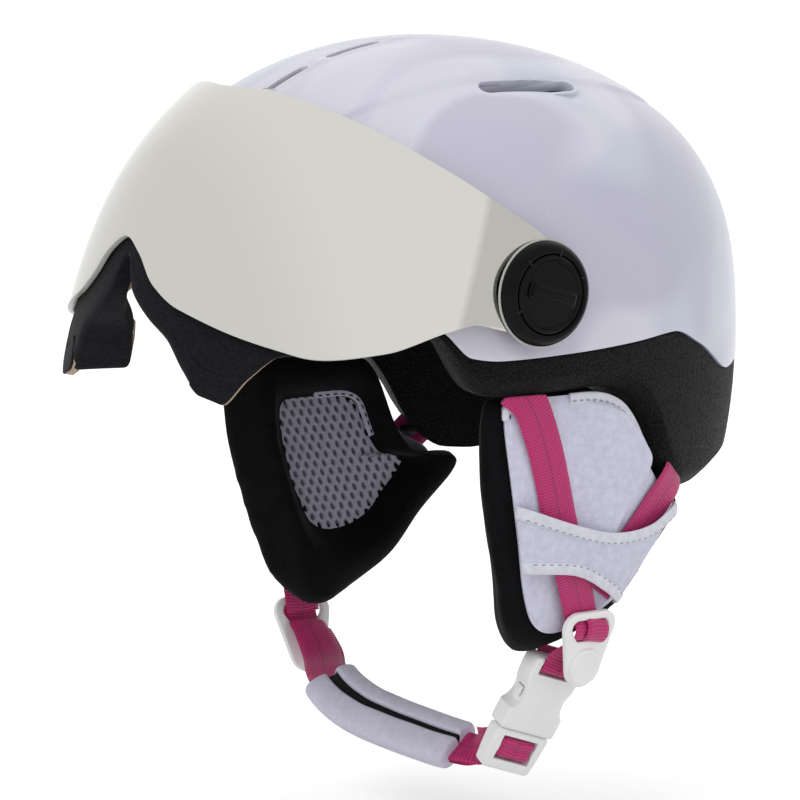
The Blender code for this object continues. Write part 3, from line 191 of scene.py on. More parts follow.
class HelmetSizes(bpy.types.PropertyGroup):
    """Sizes that the pieces are modelled to."""

    half_width: length("Half width", "From the middle plane to the shell's face", 0.1)
    front: length("Front", "From the origin to the shell's brow", 0.115)
    back: length("Back", "From the origin to the back of the shell", 0.1375)
    height: length("Height", "From the origin to the crown", 0.119)
    shell_wall: length("Shell wall", "Thickness of the hard shell", 0.002)
    liner_wall: length("Liner wall", "Thickness of the foam liner", 0.02)
    lens_wall: length("Lens wall", "Thickness of the visor", 0.002)
    lens_reach: length("Lens reach", "From the pivots to the front of the visor", 0.10402)
    visor_lift: FloatProperty(name="Visor lift", description="How far the visor is raised",
                              default=math.radians(35.8), subtype="ANGLE")
    knob_radius: length("Knob radius", "Radius of each lock knob", 0.01975)
    strap_width: length("Strap width", "Width of the webbing", 0.015)
    strap_wall: length("Strap wall", "Thickness of the webbing", 0.0014)
    pad_thickness: length("Pad thickness", "Thickness of the comfort pads", 0.007)
    stitch: length("Stitch", "Length of one stitch", 0.0021)
    camera_distance: length("Camera distance", "From the helmet to the camera", 3.0)


class HelmetColours(bpy.types.PropertyGroup):
    """Colours of the finishes."""

    shell: tint("Shell", "Main colour of the hard shell", (0.66, 0.65, 0.755))
    shell_cool: tint("Shell cool", "Colour of the shell's cool clouds", (0.56, 0.60, 0.705))
    shell_warm: tint("Shell warm", "Colour of the shell's mauve clouds", (0.50, 0.475, 0.605))
    lens: tint("Lens", "Mirror coat of the visor", (0.66, 0.65, 0.61))
    lens_inside: tint("Lens inside", "Tint seen from inside the visor", (0.46, 0.30, 0.16))
    liner: tint("Liner", "Moulded foam liner", (0.008, 0.008, 0.009))
    fleece: tint("Fleece", "Ear cushions and comfort pads", (0.004, 0.004, 0.005))
    cover: tint("Cover", "Woven cover of the ear pads", (0.725, 0.72, 0.88))
    binding: tint("Binding", "Tape sewn round the edges", (0.80, 0.80, 0.90))
    spacer: tint("Spacer mesh", "Mesh over the ear", (0.43, 0.43, 0.54))
    webbing: tint("Webbing", "Straps", (0.47, 0.014, 0.135))
    white_plastic: tint("White plastic", "Buckle and dividers", (0.9, 0.9, 0.9))
    chin_fleece: tint("Chin fleece", "Sleeve of the chin strap", (0.69, 0.67, 0.81))
    black_plastic: tint("Black plastic", "Knobs and size adjuster", (0.004, 0.004, 0.005))
    floor: tint("Floor", "Studio floor", (0.93, 0.93, 0.93))


def sizes():
    return bpy.context.scene.helmet_sizes


def colours():
    return bpy.context.scene.helmet_colours


# Curves

def curve_value(points, at):
    """Height of a smooth curve through points, with no overshoot between them."""
    xs = [p[0] for p in points]
    ys = [p[1] for p in points]
    last = len(xs) - 1
    at = min(max(at, xs[0]), xs[-1])
    i = 0
    while i < last - 1 and at >= xs[i + 1]:
        i += 1
    slopes = []
    for k in (i, i + 1):
        slope = 0.0
        if 0 < k < last:
            before = (ys[k] - ys[k - 1]) / (xs[k] - xs[k - 1])
            after = (ys[k + 1] - ys[k]) / (xs[k + 1] - xs[k])
            first = 2 * (xs[k + 1] - xs[k]) + (xs[k] - xs[k - 1])
            second = (xs[k + 1] - xs[k]) + 2 * (xs[k] - xs[k - 1])
            if before * after > 0:
                slope = (first + second) / (first / before + second / after)
        slopes.append(slope)
    step = xs[i + 1] - xs[i]
    u = (at - xs[i]) / step
    return ((1 + 2 * u) * (1 - u) ** 2 * ys[i] + u * (1 - u) ** 2 * step * slopes[0]
            + u * u * (3 - 2 * u) * ys[i + 1] + u * u * (u - 1) * step * slopes[1])


def spline_point(points, share, loop=False):
    """Point a share of the way along a smooth curve through points."""
    size = len(points)
    spans = size if loop else size - 1
    place = (share % 1.0 if loop else min(max(share, 0.0), 1.0)) * spans
    i = min(int(place), spans - 1)
    u = place - i
    if loop:
        a, b, c, d = (points[(i + k) % size] for k in (-1, 0, 1, 2))
    else:
        b, c = points[i], points[i + 1]
        a = points[i - 1] if i else b * 2 - c
        d = points[i + 2] if i + 2 < size else c * 2 - b
    squared = (2 * a - 5 * b + 4 * c - d) * u * u
    cubed = (3 * b - a - 3 * c + d) * u ** 3
    return 0.5 * (2 * b + (c - a) * u + squared + cubed)


def spline(points, count, loop=False):
    points = [Vector(p) for p in points]
    return [spline_point(points, i / (count if loop else count - 1), loop) for i in range(count)]


def run_length(points):
    return sum((b - a).length for a, b in zip(points, points[1:]))


def even(points, count, lays=None):
    """The same line with its points spread evenly, and what lies at each of them."""
    steps = [0.0]
    for a, b in zip(points, points[1:]):
        steps.append(steps[-1] + (b - a).length)
    result = []
    others = []
    k = 0
    for i in range(count):
        target = steps[-1] * i / (count - 1)
        while k < len(points) - 2 and steps[k + 1] < target:
            k += 1
        span = steps[k + 1] - steps[k]
        share = (target - steps[k]) / span if span else 0
        result.append(points[k].lerp(points[k + 1], share))
        if lays:
            others.append(lays[k].lerp(lays[k + 1], share))
    return (result, others) if lays else result


def directions(points):
    last = len(points) - 1
    return [(points[min(i + 1, last)] - points[max(i - 1, 0)]).normalized() for i in range(last + 1)]


def circle(count):
    """Cosine and sine of even turns round a circle."""
    turns = [2 * math.pi * i / count for i in range(count)]
    return [(math.cos(turn), math.sin(turn)) for turn in turns]


def smooth_step(low, high, value):
    share = min(max((value - low) / (high - low), 0.0), 1.0)
    return share * share * (3 - 2 * share)


def squared_off(value, power):
    """A sine or cosine pushed outwards, so that a round section turns boxy."""
    return math.copysign(abs(value) ** power, value)


# Modelling, as at the bench

def select_only(*items):
    bpy.ops.object.select_all(action="DESELECT")
    for item in items:
        item.select_set(True)
    bpy.context.view_layer.objects.active = items[0]


def name_piece(name):
    item = bpy.context.object
    item.name = name
    item.data.name = name
    return item


def modify(item, kind, **settings):
    """Add a modifier, set it and apply it."""
    select_only(item)
    bpy.ops.object.modifier_add(type=kind)
    change = item.modifiers[-1]
    for key, value in settings.items():
        setattr(change, key, value)
    bpy.ops.object.modifier_apply(modifier=change.name)
    return item


def soften(item, width, segments, angle, **settings):
    """Round off the edges that are sharper than an angle."""
    return modify(item, "BEVEL", width=width, segments=segments, limit_method="ANGLE",
                  angle_limit=math.radians(angle), **settings)


def tidy_mesh(item, fill=False, recalculate=True):
    """Close the seams of a laid-out grid and turn its faces outwards."""
    select_only(item)
    bpy.ops.object.mode_set(mode="EDIT")
    bpy.ops.mesh.select_all(action="SELECT")
    bpy.ops.mesh.remove_doubles(threshold=1e-6)
    bpy.ops.mesh.dissolve_degenerate(threshold=1e-7)
    if fill:
        bpy.ops.mesh.select_all(action="SELECT")
        bpy.ops.mesh.fill_holes(sides=0)
    if recalculate:
        bpy.ops.mesh.select_all(action="SELECT")
        bpy.ops.mesh.normals_make_consistent(inside=False)
    bpy.ops.object.mode_set(mode="OBJECT")
    return item


def smooth(item, angle=40):
    select_only(item)
    bpy.ops.object.shade_smooth_by_angle(angle=math.radians(angle))
    return item


def face_out(item, centre):
    """Turn an open sheet so that its faces look away from a point."""
    mesh = item.data
    total = sum((polygon.center - centre).normalized().dot(polygon.normal) for polygon in mesh.polygons)
    if total < 0:
        mesh.flip_normals()


def walled(item, centre, thickness, **settings):
    """Give an open sheet a wall behind the face that looks away from a point."""
    tidy_mesh(item, recalculate=False)
    face_out(item, centre)
    return modify(item, "SOLIDIFY", thickness=thickness, offset=-1, **settings)


def laid_grid(name, columns, rows, place):
    """Grid laid on a form: place turns two shares from -1 to 1 into a point."""
    bpy.ops.mesh.primitive_grid_add(x_subdivisions=columns, y_subdivisions=rows, size=2)
    item = name_piece(name)
    for vertex in item.data.vertices:
        vertex.co = place(vertex.co.x, vertex.co.y)
    return item


def loft(name, rings, closed=False):
    """Skin over a row of closed rings, all with as many points."""
    around = len(rings[0])
    along = len(rings) if closed else len(rings) - 1

    def place(a, b):
        i = round((a + 1) / 2 * around) % around
        j = round((b + 1) / 2 * along) % len(rings)
        return rings[j][i]

    return tidy_mesh(laid_grid(name, around, along, place), fill=not closed)


def turned(name, profile, side, steps, loop=False):
    """Turned piece on the visor's axis, from distances out along X and radii."""
    rings = [[PIVOT + Vector((side * reach, radius * c, radius * s)) for reach, radius in profile]
             for c, s in circle(steps)]
    around = len(profile) if loop else len(profile) - 1

    def place(a, b):
        i = round((a + 1) / 2 * around) % len(profile)
        j = round((b + 1) / 2 * steps) % steps
        return rings[j][i]

    return tidy_mesh(laid_grid(name, around, steps, place))


def rounded(points, radius, steps=4):
    """Profile with its corners rounded off."""
    result = []
    size = len(points)
    for i in range(size):
        before, corner, after = (Vector(points[k % size]) for k in (i - 1, i, i + 1))
        back = before - corner
        ahead = after - corner
        reach = min(radius, back.length * 0.45, ahead.length * 0.45)
        start = corner + back.normalized() * reach
        stop = corner + ahead.normalized() * reach
        for k in range(steps + 1):
            u = k / steps
            result.append(tuple(start * (1 - u) ** 2 + corner * 2 * u * (1 - u) + stop * u * u))
    return result


def rounded_box(name, size, bevel, segments=4):
    """Box with softened edges, at the origin."""
    bpy.ops.mesh.primitive_cube_add(size=1)
    item = name_piece(name)
    item.scale = size
    bpy.ops.object.transform_apply(location=False, rotation=False, scale=True)
    if bevel:
        bpy.ops.object.mode_set(mode="EDIT")
        bpy.ops.mesh.select_all(action="SELECT")
        bpy.ops.mesh.bevel(offset=bevel, segments=segments, affect="EDGES")
        bpy.ops.object.mode_set(mode="OBJECT")
    return item


def settle(item, matrix):
    """Put a piece in its place, with the place kept in its mesh."""
    select_only(item)
    item.matrix_world = matrix
    bpy.ops.object.transform_apply(location=True, rotation=True, scale=True)
    return item


def cut(item, cutter, operation="DIFFERENCE"):
    modify(item, "BOOLEAN", operation=operation, object=cutter, solver="EXACT")
    bpy.data.objects.remove(cutter)
    return item


def join(name, items):
    select_only(*items)
    bpy.ops.object.join()
    return name_piece(name)


def ribbon_uv(item, across, along):
    """Measure the skin of a lofted piece in metres, so that a weave follows it."""
    layer = item.data.uv_layers.active.data
    values = np.empty(len(layer) * 2)
    layer.foreach_get("uv", values)
    values[0::2] *= across
    values[1::2] *= along
    layer.foreach_set("uv", values)


# Stuffing of a pad: steps of the cloth simulation, and how far a cover may move
CLOTH_STEPS = 20
SWELL_CAP = 0.0012


def swell(item, voxel):
    """Stuff a pad: its cover is pressed out from inside and held near its cut shape."""
    select_only(item)
    item.data.remesh_voxel_size = voxel
    bpy.ops.object.voxel_remesh()
    count = len(item.data.vertices)
    start = np.empty(count * 3)
    item.data.vertices.foreach_get("co", start)
    scene = bpy.context.scene
    bpy.ops.object.modifier_add(type="CLOTH")
    cloth = item.modifiers[-1]
    cloth.settings.quality = 5
    cloth.settings.mass = 0.3
    cloth.settings.use_pressure = True
    cloth.settings.uniform_pressure_force = 4.0
    cloth.settings.effector_weights.gravity = 0
    cloth.point_cache.frame_start = 1
    cloth.point_cache.frame_end = CLOTH_STEPS
    for step in range(1, CLOTH_STEPS + 1):
        scene.frame_set(step)
    bpy.ops.object.modifier_apply(modifier=cloth.name)
    scene.frame_set(1)
    end = np.empty(count * 3)
    item.data.vertices.foreach_get("co", end)
    moves = (end - start).reshape(-1, 3)
    lengths = np.linalg.norm(moves, axis=1, keepdims=True)
    moves *= np.minimum(1, SWELL_CAP / np.maximum(lengths, 1e-9))
    item.data.vertices.foreach_set("co", (start.reshape(-1, 3) + moves).ravel())
    modify(item, "SMOOTH", factor=0.5, iterations=2)
    modify(item, "SUBSURF", levels=1, render_levels=1)
    return smooth(item, 60)


def ruffle(point, scale, seed):
    """A small repeatable unevenness from -1 to 1, as cloth has."""
    x, y, z = point * scale
    sway = math.sin(x * 1.7 + seed) * math.sin(y * 1.3 + 2.1 * seed)
    sway += math.sin(z * 1.9 + x * 0.6 + seed * 0.7)
    return 0.5 * sway * math.cos(y * 0.7 - z * 1.1 + seed)


def paint(item, kind):
    item.data.materials.clear()
    item.data.materials.append(finish(kind))


def finish_piece(item, body, slot, kind, *nodes, fill=None, blend=None):
    """Give a piece its finish, hide the frame nodes it stands in for, and hang it on its body, or keep its
    place in its mesh if it lies across a blend of bodies.
    """
    if kind:
        paint(item, kind)
    if blend:
        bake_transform(item)
    else:
        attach(item, body)
    if nodes:
        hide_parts(*nodes)
    return item


def soften_node(node, name, bevel, kind, slot, body):
    """Rounded copy of a frame node, which it stands for."""
    item = bpy.data.objects.new(name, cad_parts[node].data.copy())
    bpy.context.scene.collection.objects.link(item)
    item.data.name = name
    item.data.materials.clear()
    tidy_mesh(item, recalculate=False)
    return finish_piece(smooth(soften(item, bevel, 3, 30)), body, slot, kind, node)


# Helmet form

def fold(angle):
    return min(angle % 360, 360 - angle % 360)


def shell_rim(angle):
    return curve_value(SHELL_RIM, fold(angle)) * MM


def liner_rim(angle):
    return curve_value(LINER_RIM, fold(angle)) * MM


def dome(angle, z, inset=0.0):
    """Point of the helmet's form at a plan angle and height, moved inwards by an inset."""
    form = sizes()
    turn = math.radians(angle)
    if z > 0:
        reach = max(0.0, 1 - (z / (form.height - inset)) ** 2.9) ** (1 / 1.9)
    else:
        reach = 1 - 20 * z * z
    length = (form.front if math.cos(turn) > 0 else form.back) - inset
    return Vector(((form.half_width - inset) * reach * math.sin(turn), -length * reach * math.cos(turn), z))


def dome_height(x, y, inset=0.0):
    form = sizes()
    length = (form.front if y < 0 else form.back) - inset
    radius = math.hypot(x / (form.half_width - inset), y / length)
    return (form.height - inset) * max(0.0, 1 - radius ** 1.9) ** (1 / 2.9)


def disc_place(a, b):
    """Turn and radius on a disc of a place on a square, with no pole in the middle."""
    if a == 0 and b == 0:
        return 0.0, 0.0
    if abs(a) > abs(b):
        radius = a
        turn = math.pi / 4 * b / a
    else:
        radius = b
        turn = math.pi / 2 - math.pi / 4 * a / b
    if radius < 0:
        turn += math.pi
    return turn, abs(radius)


def vent_distance(x, y, vent):
    """Distance in plan from a vent's edge."""
    middle_x, middle_y, length, width = (v * MM for v in vent)
    run = max(abs(y - middle_y) - (length - width) / 2, 0.0)
    return math.hypot(x - middle_x, run) - width / 2


def moulded_step(beyond, rise_from, rise_to, fade_to):
    """Share of a step that sets in sharply past an edge and then fades, its limits in millimetres."""
    rise = smooth_step(rise_from * MM, rise_to * MM, beyond)
    return rise * (1 - smooth_step(2 * MM, fade_to * MM, beyond))


def shell_relief(point):
    """Depth of the shell's relief: steps along the creases and the front spine, and dips round the vents."""
    if point.z < 40 * MM:
        return 0.0
    edge = curve_value(CREASE, point.y / MM) * MM
    fade = smooth_step(-100 * MM, -75 * MM, point.y) * (1 - smooth_step(75 * MM, 105 * MM, point.y))
    depth = 1.3 * MM * moulded_step(abs(point.x) - edge, -0.5, 1.6, 26) * fade
    ridge = moulded_step(abs(point.x) - 3.2 * MM, -0.4, 1.4, 17)
    depth += 1.0 * MM * ridge * (1 - smooth_step(-16 * MM, 6 * MM, point.y))
    for vent in VENTS:
        away = vent_distance(point.x, point.y, vent)
        depth += 0.9 * MM * (1 - smooth_step(0, 4.5 * MM, away))
    return depth


def vent_plug(vent, grow, low, high):
    """Slot-shaped plug standing through the dome at a vent, from a low to a high level in millimetres."""
    x, y, length, width = (v * MM for v in vent)
    half = width / 2 + grow * MM
    run = length / 2 - width / 2
    outline = []
    for middle, first in ((run, 0), (-run, 180)):
        for step in range(13):
            turn = math.radians(first + 15 * step)
            outline.append((half * math.cos(turn), middle + half * math.sin(turn)))
    top = Vector((x, y, dome_height(x, y)))
    place = Matrix.Translation(top) @ Matrix.Rotation(math.atan2(x, top.z), 4, "Y")
    return loft("vent_plug", [[place @ Vector((u, v, w * MM)) for u, v in outline] for w in (low, high)])


# Node groups

def new_group(name, outputs, **inputs):
    """Empty shader group: the group, its input sockets' values and its outlet."""
    group = bpy.data.node_groups.new(name, "ShaderNodeTree")
    for label, value in inputs.items():
        socket = group.interface.new_socket(label, in_out="INPUT", socket_type="NodeSocketFloat")
        socket.default_value = value
    for label in outputs:
        group.interface.new_socket(label, in_out="OUTPUT", socket_type="NodeSocketFloat")
    return group, group.nodes.new("NodeGroupInput").outputs, group.nodes.new("NodeGroupOutput")


def deliver(group, outlet, **values):
    for label, value in values.items():
        group.links.new(value, outlet.inputs[label])
    return group


def maths(tree, operation, *operands):
    """One arithmetic node: each operand is a socket or a number."""
    node = tree.nodes.new("ShaderNodeMath")
    node.operation = operation
    for place, value in enumerate(operands):
        if isinstance(value, (int, float)):
            node.inputs[place].default_value = value
        else:
            tree.links.new(value, node.inputs[place])
    return node.outputs[0]


def weighted(tree, first, share, second, other):
    """Sum of two values, each times its weight."""
    return maths(tree, "ADD", maths(tree, "MULTIPLY", first, share), maths(tree, "MULTIPLY", second, other))


def wave(tree, value, rate):
    return maths(tree, "SINE", maths(tree, "MULTIPLY", value, rate))


def noise(tree, coordinates, scale, detail=2.0, distortion=0.0):
    node = tree.nodes.new("ShaderNodeTexNoise")
    node.inputs["Detail"].default_value = detail
    node.inputs["Distortion"].default_value = distortion
    tree.links.new(coordinates, node.inputs["Vector"])
    tree.links.new(scale, node.inputs["Scale"])
    return node.outputs["Fac"]


def mapped(tree, coordinates, **settings):
    """Coordinates that are moved, turned or stretched."""
    node = tree.nodes.new("ShaderNodeMapping")
    for key, value in settings.items():
        node.inputs[key].default_value = value
    tree.links.new(coordinates, node.inputs["Vector"])
    return node.outputs[0]


def split(tree, coordinates):
    node = tree.nodes.new("ShaderNodeSeparateXYZ")
    tree.links.new(coordinates, node.inputs[0])
    return node.outputs


def ranged(tree, value, **limits):
    """A value moved from one range to another."""
    node = tree.nodes.new("ShaderNodeMapRange")
    for key, limit in limits.items():
        node.inputs[key.replace("_", " ")].default_value = limit
    tree.links.new(value, node.inputs["Value"])
    return node.outputs["Result"]


def spread(tree, value, low, high):
    """Stretch a value so that low becomes 0 and high becomes 1."""
    return ranged(tree, value, From_Min=low, From_Max=high)


def object_coordinates(tree):
    return tree.nodes.new("ShaderNodeTexCoord").outputs["Object"]


def pile_group():
    """Brushed pile: fine fibres gathered in soft clumps."""
    group, inlet, outlet = new_group("Brushed pile", ("Shade", "Height"), Fibres=1500.0, Clumps=160.0)
    place = object_coordinates(group)
    fibres = noise(group, place, inlet["Fibres"], 3.0)
    clumps = noise(group, place, inlet["Clumps"], 2.0, 0.6)
    height = weighted(group, fibres, 0.55, clumps, 0.45)
    return deliver(group, outlet, Shade=spread(group, height, 0.3, 0.7), Height=height)


def weave_group():
    """Plain weave seen on the side of the head: threads run along Y and Z."""
    group, inlet, outlet = new_group("Plain weave", ("Shade", "Height"), Threads=7000.0, Slub=400.0)
    place = object_coordinates(group)
    axes = split(group, place)
    threads = [wave(group, axes[key], inlet["Threads"]) for key in ("Y", "Z")]
    checks = maths(group, "MULTIPLY", *threads)
    slub = noise(group, place, inlet["Slub"], 3.0)
    height = maths(group, "ADD", maths(group, "MULTIPLY", checks, 0.35), slub)
    return deliver(group, outlet, Shade=spread(group, height, 0.1, 1.0), Height=height)


def ribs_group():
    """Woven webbing: ribs across the strap that meet in a herringbone at a groove along its middle."""
    group, inlet, outlet = new_group("Webbing ribs", ("Shade", "Height"), Ribs=5200.0, Width=0.015)
    axes = split(group, group.nodes.new("ShaderNodeUVMap").outputs["UV"])
    across = maths(group, "DIVIDE", axes["X"], inlet["Width"])
    side = maths(group, "ABSOLUTE", maths(group, "SUBTRACT", maths(group, "FRACT", across), 0.5))
    along = maths(group, "ADD", axes["Y"], maths(group, "MULTIPLY", side, 0.0016))
    ribs = wave(group, along, inlet["Ribs"])
    yarns = wave(group, axes["X"], 5600.0)
    groove = maths(group, "LESS_THAN", side, 0.035)
    height = weighted(group, ribs, 0.4, yarns, 0.16)
    height = maths(group, "SUBTRACT", height, maths(group, "MULTIPLY", groove, 0.5))
    return deliver(group, outlet, Shade=spread(group, height, -0.8, 0.6), Height=height)


def beads_group():
    """Moulded bead foam: packed cells with small pits between them."""
    group, inlet, outlet = new_group("Moulded beads", ("Shade", "Height"), Cells=330.0, Pits=900.0)
    place = object_coordinates(group)
    cells = group.nodes.new("ShaderNodeTexVoronoi")
    cells.feature = "DISTANCE_TO_EDGE"
    group.links.new(place, cells.inputs["Vector"])
    group.links.new(inlet["Cells"], cells.inputs["Scale"])
    edges = spread(group, cells.outputs["Distance"], 0.0, 0.12)
    pits = noise(group, place, inlet["Pits"], 3.0)
    height = weighted(group, edges, 0.6, pits, 0.9)
    return deliver(group, outlet, Shade=spread(group, height, 0.4, 1.3), Height=height)


def clouds_group():
    """Two soft clouds of colour that drift over the shell."""
    group, inlet, outlet = new_group("Soft clouds", ("Cool", "Warm"), Size=9.0)
    near = mapped(group, object_coordinates(group), Rotation=(0.5, 0.3, 0.9), Scale=(1.0, 0.8, 0.55))
    far = mapped(group, near, Location=(0.37, -0.21, 0.16))
    cool, warm = (noise(group, place, inlet["Size"], 1.5, 0.9) for place in (near, far))
    return deliver(group, outlet, Cool=spread(group, cool, 0.49, 0.525), Warm=spread(group, warm, 0.52, 0.56))


def handling_group():
    """Marks of handling on moulded plastic: faint mottling and fine dull scuffs."""
    group, inlet, outlet = new_group("Handling", ("Dull", "Height"), Mottle=120.0, Scuffs=900.0)
    place = object_coordinates(group)
    mottle = noise(group, place, inlet["Mottle"], 3.0)
    stretched = mapped(group, place, Rotation=(0.4, 0.7, 0.2), Scale=(1.0, 0.12, 1.0))
    scuffs = noise(group, stretched, inlet["Scuffs"], 2.0)
    dull = weighted(group, mottle, 0.6, spread(group, scuffs, 0.62, 0.75), 0.4)
    return deliver(group, outlet, Dull=dull, Height=mottle)


GROUP_MAKERS = {"pile": pile_group, "weave": weave_group, "ribs": ribs_group, "beads": beads_group,
                "clouds": clouds_group, "handling": handling_group}
GROUPS = {}


def place_group(tree, kind, *scales):
    """Node of a pattern, made the first time it is asked for, with its scales in order."""
    if kind not in GROUPS:
        GROUPS[kind] = GROUP_MAKERS[kind]()
    node = tree.nodes.new("ShaderNodeGroup")
    node.node_tree = GROUPS[kind]
    for socket, value in zip(node.inputs, scales):
        socket.default_value = value
    return node.outputs


# Materials

def new_finish(name, colour, roughness, **sockets):
    material = bpy.data.materials.new(name)
    material.use_nodes = True
    shader = material.node_tree.nodes["Principled BSDF"].inputs
    shader["Base Color"].default_value = colour
    shader["Roughness"].default_value = roughness
    for key, value in sockets.items():
        shader[key.replace("_", " ")].default_value = value
    return material, material.node_tree, shader


def mixed_colour(tree, share, first, second):
    """Colour between two others, each a socket or a plain colour."""
    node = tree.nodes.new("ShaderNodeMix")
    node.data_type = "RGBA"
    tree.links.new(share, node.inputs["Factor"])
    for key, value in (("A", first), ("B", second)):
        socket = [s for s in node.inputs if s.name == key and s.type == "RGBA"][0]
        if isinstance(value, bpy.types.NodeSocket):
            tree.links.new(value, socket)
        else:
            socket.default_value = value
    return [s for s in node.outputs if s.type == "RGBA"][0]


def shade_of(colour, share):
    return (colour[0] * share, colour[1] * share, colour[2] * share, 1)


def bump(tree, shader, height, strength, distance):
    node = tree.nodes.new("ShaderNodeBump")
    node.inputs["Strength"].default_value = strength
    node.inputs["Distance"].default_value = distance
    tree.links.new(height, node.inputs["Height"])
    tree.links.new(node.outputs["Normal"], shader["Normal"])


def rough_range(tree, shader, value, low, high):
    tree.links.new(ranged(tree, value, To_Min=low, To_Max=high), shader["Roughness"])


def tone_range(tree, shader, value, first, second):
    tree.links.new(mixed_colour(tree, value, first, second), shader["Base Color"])


def patterned(name, colour, pattern, scales, tones, rough, relief=None, tone_by=0, **sockets):
    """Finish with a pattern in its tone and relief, and in its roughness where that has two values."""
    low, *high = rough
    material, tree, shader = new_finish(name, colour, low, **sockets)
    marks = place_group(tree, pattern, *scales)
    if tones:
        dark, bright = (shade_of(colour, tone) for tone in tones)
        tone_range(tree, shader, marks[tone_by], dark, bright)
    if high:
        rough_range(tree, shader, marks[0], *rough)
    if relief:
        bump(tree, shader, marks["Height"], *relief)
    return material


def shell_finish():
    tones = colours()
    material, tree, shader = new_finish("shell_gloss", tones.shell, 0.25, Coat_Weight=0.2,
                                        Coat_Roughness=0.08)
    clouds = place_group(tree, "clouds", 9.0)
    cool_share = maths(tree, "MULTIPLY", clouds["Cool"], 0.95)
    warm_share = maths(tree, "MULTIPLY", clouds["Warm"], 0.75)
    cool = mixed_colour(tree, cool_share, tones.shell, tones.shell_cool)
    tone_range(tree, shader, warm_share, cool, tones.shell_warm)
    mottle = place_group(tree, "handling", 60.0, 500.0)["Height"]
    rough_range(tree, shader, mottle, 0.2, 0.3)
    bump(tree, shader, mottle, 0.05, 0.0004)
    return material


def lens_finish():
    """Mirror coat, a little darker at its front and darker still towards the pivots, past a slanted edge that
    is a painted reflection.
    """
    coat = colours().lens
    material, tree, shader = new_finish("lens_mirror", coat, 0.08, Metallic=1.0)
    rough_range(tree, shader, place_group(tree, "handling", 25.0, 300.0)["Dull"], 0.07, 0.15)
    axes = split(tree, object_coordinates(tree))
    # Painted reflection: past a slanted edge the coat turns darker towards the pivots, where a reflection in
    # the lens ends
    lean = maths(tree, "SUBTRACT", axes["Y"], maths(tree, "MULTIPLY", axes["Z"], 0.4))
    ends = mixed_colour(tree, spread(tree, lean, -0.0605, -0.0575), coat, shade_of(coat, 0.74))
    tone_range(tree, shader, spread(tree, axes["Y"], -0.112, -0.085), shade_of(coat, 0.9), ends)
    return material


def lens_edge_finish():
    material, tree, shader = new_finish("lens_edge", (0.55, 0.57, 0.53, 1), 0.3)
    mottle = place_group(tree, "handling", 90.0, 600.0)["Height"]
    tone_range(tree, shader, mottle, (0.42, 0.44, 0.40, 1), (0.60, 0.61, 0.57, 1))
    return material


def spacer_finish():
    """Knitted mesh, with painted shade in the holes that the piece carries as an attribute."""
    yarn = colours().spacer
    material, tree, shader = new_finish("spacer_mesh", yarn, 0.8, Sheen_Weight=0.2)
    holes = tree.nodes.new("ShaderNodeAttribute")
    holes.attribute_name = "hole"
    pile = place_group(tree, "pile", 2600.0, 500.0)
    knit = mixed_colour(tree, pile["Shade"], shade_of(yarn, 0.8), shade_of(yarn, 1.15))
    # Painted shade: the holes are darkened to stand for the shade inside them
    tone_range(tree, shader, holes.outputs["Fac"], knit, shade_of(yarn, 0.22))
    bump(tree, shader, pile["Height"], 0.4, 0.0004)
    return material


def pile_finish(name, colour, scales, sheen, tones=(0.55, 1.5), height=0.0009):
    return patterned(name, colour, "pile", scales, tones, (0.95,), (0.6, height), Sheen_Weight=sheen,
                     Sheen_Roughness=0.45, Specular_IOR_Level=0.1)


def thread_finish(name, colour, tones=(0.85, 1.05)):
    return pile_finish(name, colour, (3000.0, 900.0), 0.1, tones, 0.0002)


def cloth_finish(name, colour, threads, strength):
    return patterned(name, colour, "weave", (threads, 350.0), (0.78, 1.1), (0.85,), (strength, 0.0005),
                     Sheen_Weight=0.2, Sheen_Roughness=0.5)


def plastic_finish(name, colour, rough, gloss=0.5, mottle=150.0, strength=0.05):
    return patterned(name, colour, "handling", (mottle, 900.0), (0.94, 1.05), rough, (strength, 0.0003),
                     Specular_IOR_Level=gloss)


# Dark plastics and yarns that have no colour of their own in the panel
DARK = (0.012, 0.012, 0.013, 1)
SMOKE = (0.012, 0.012, 0.014, 1)

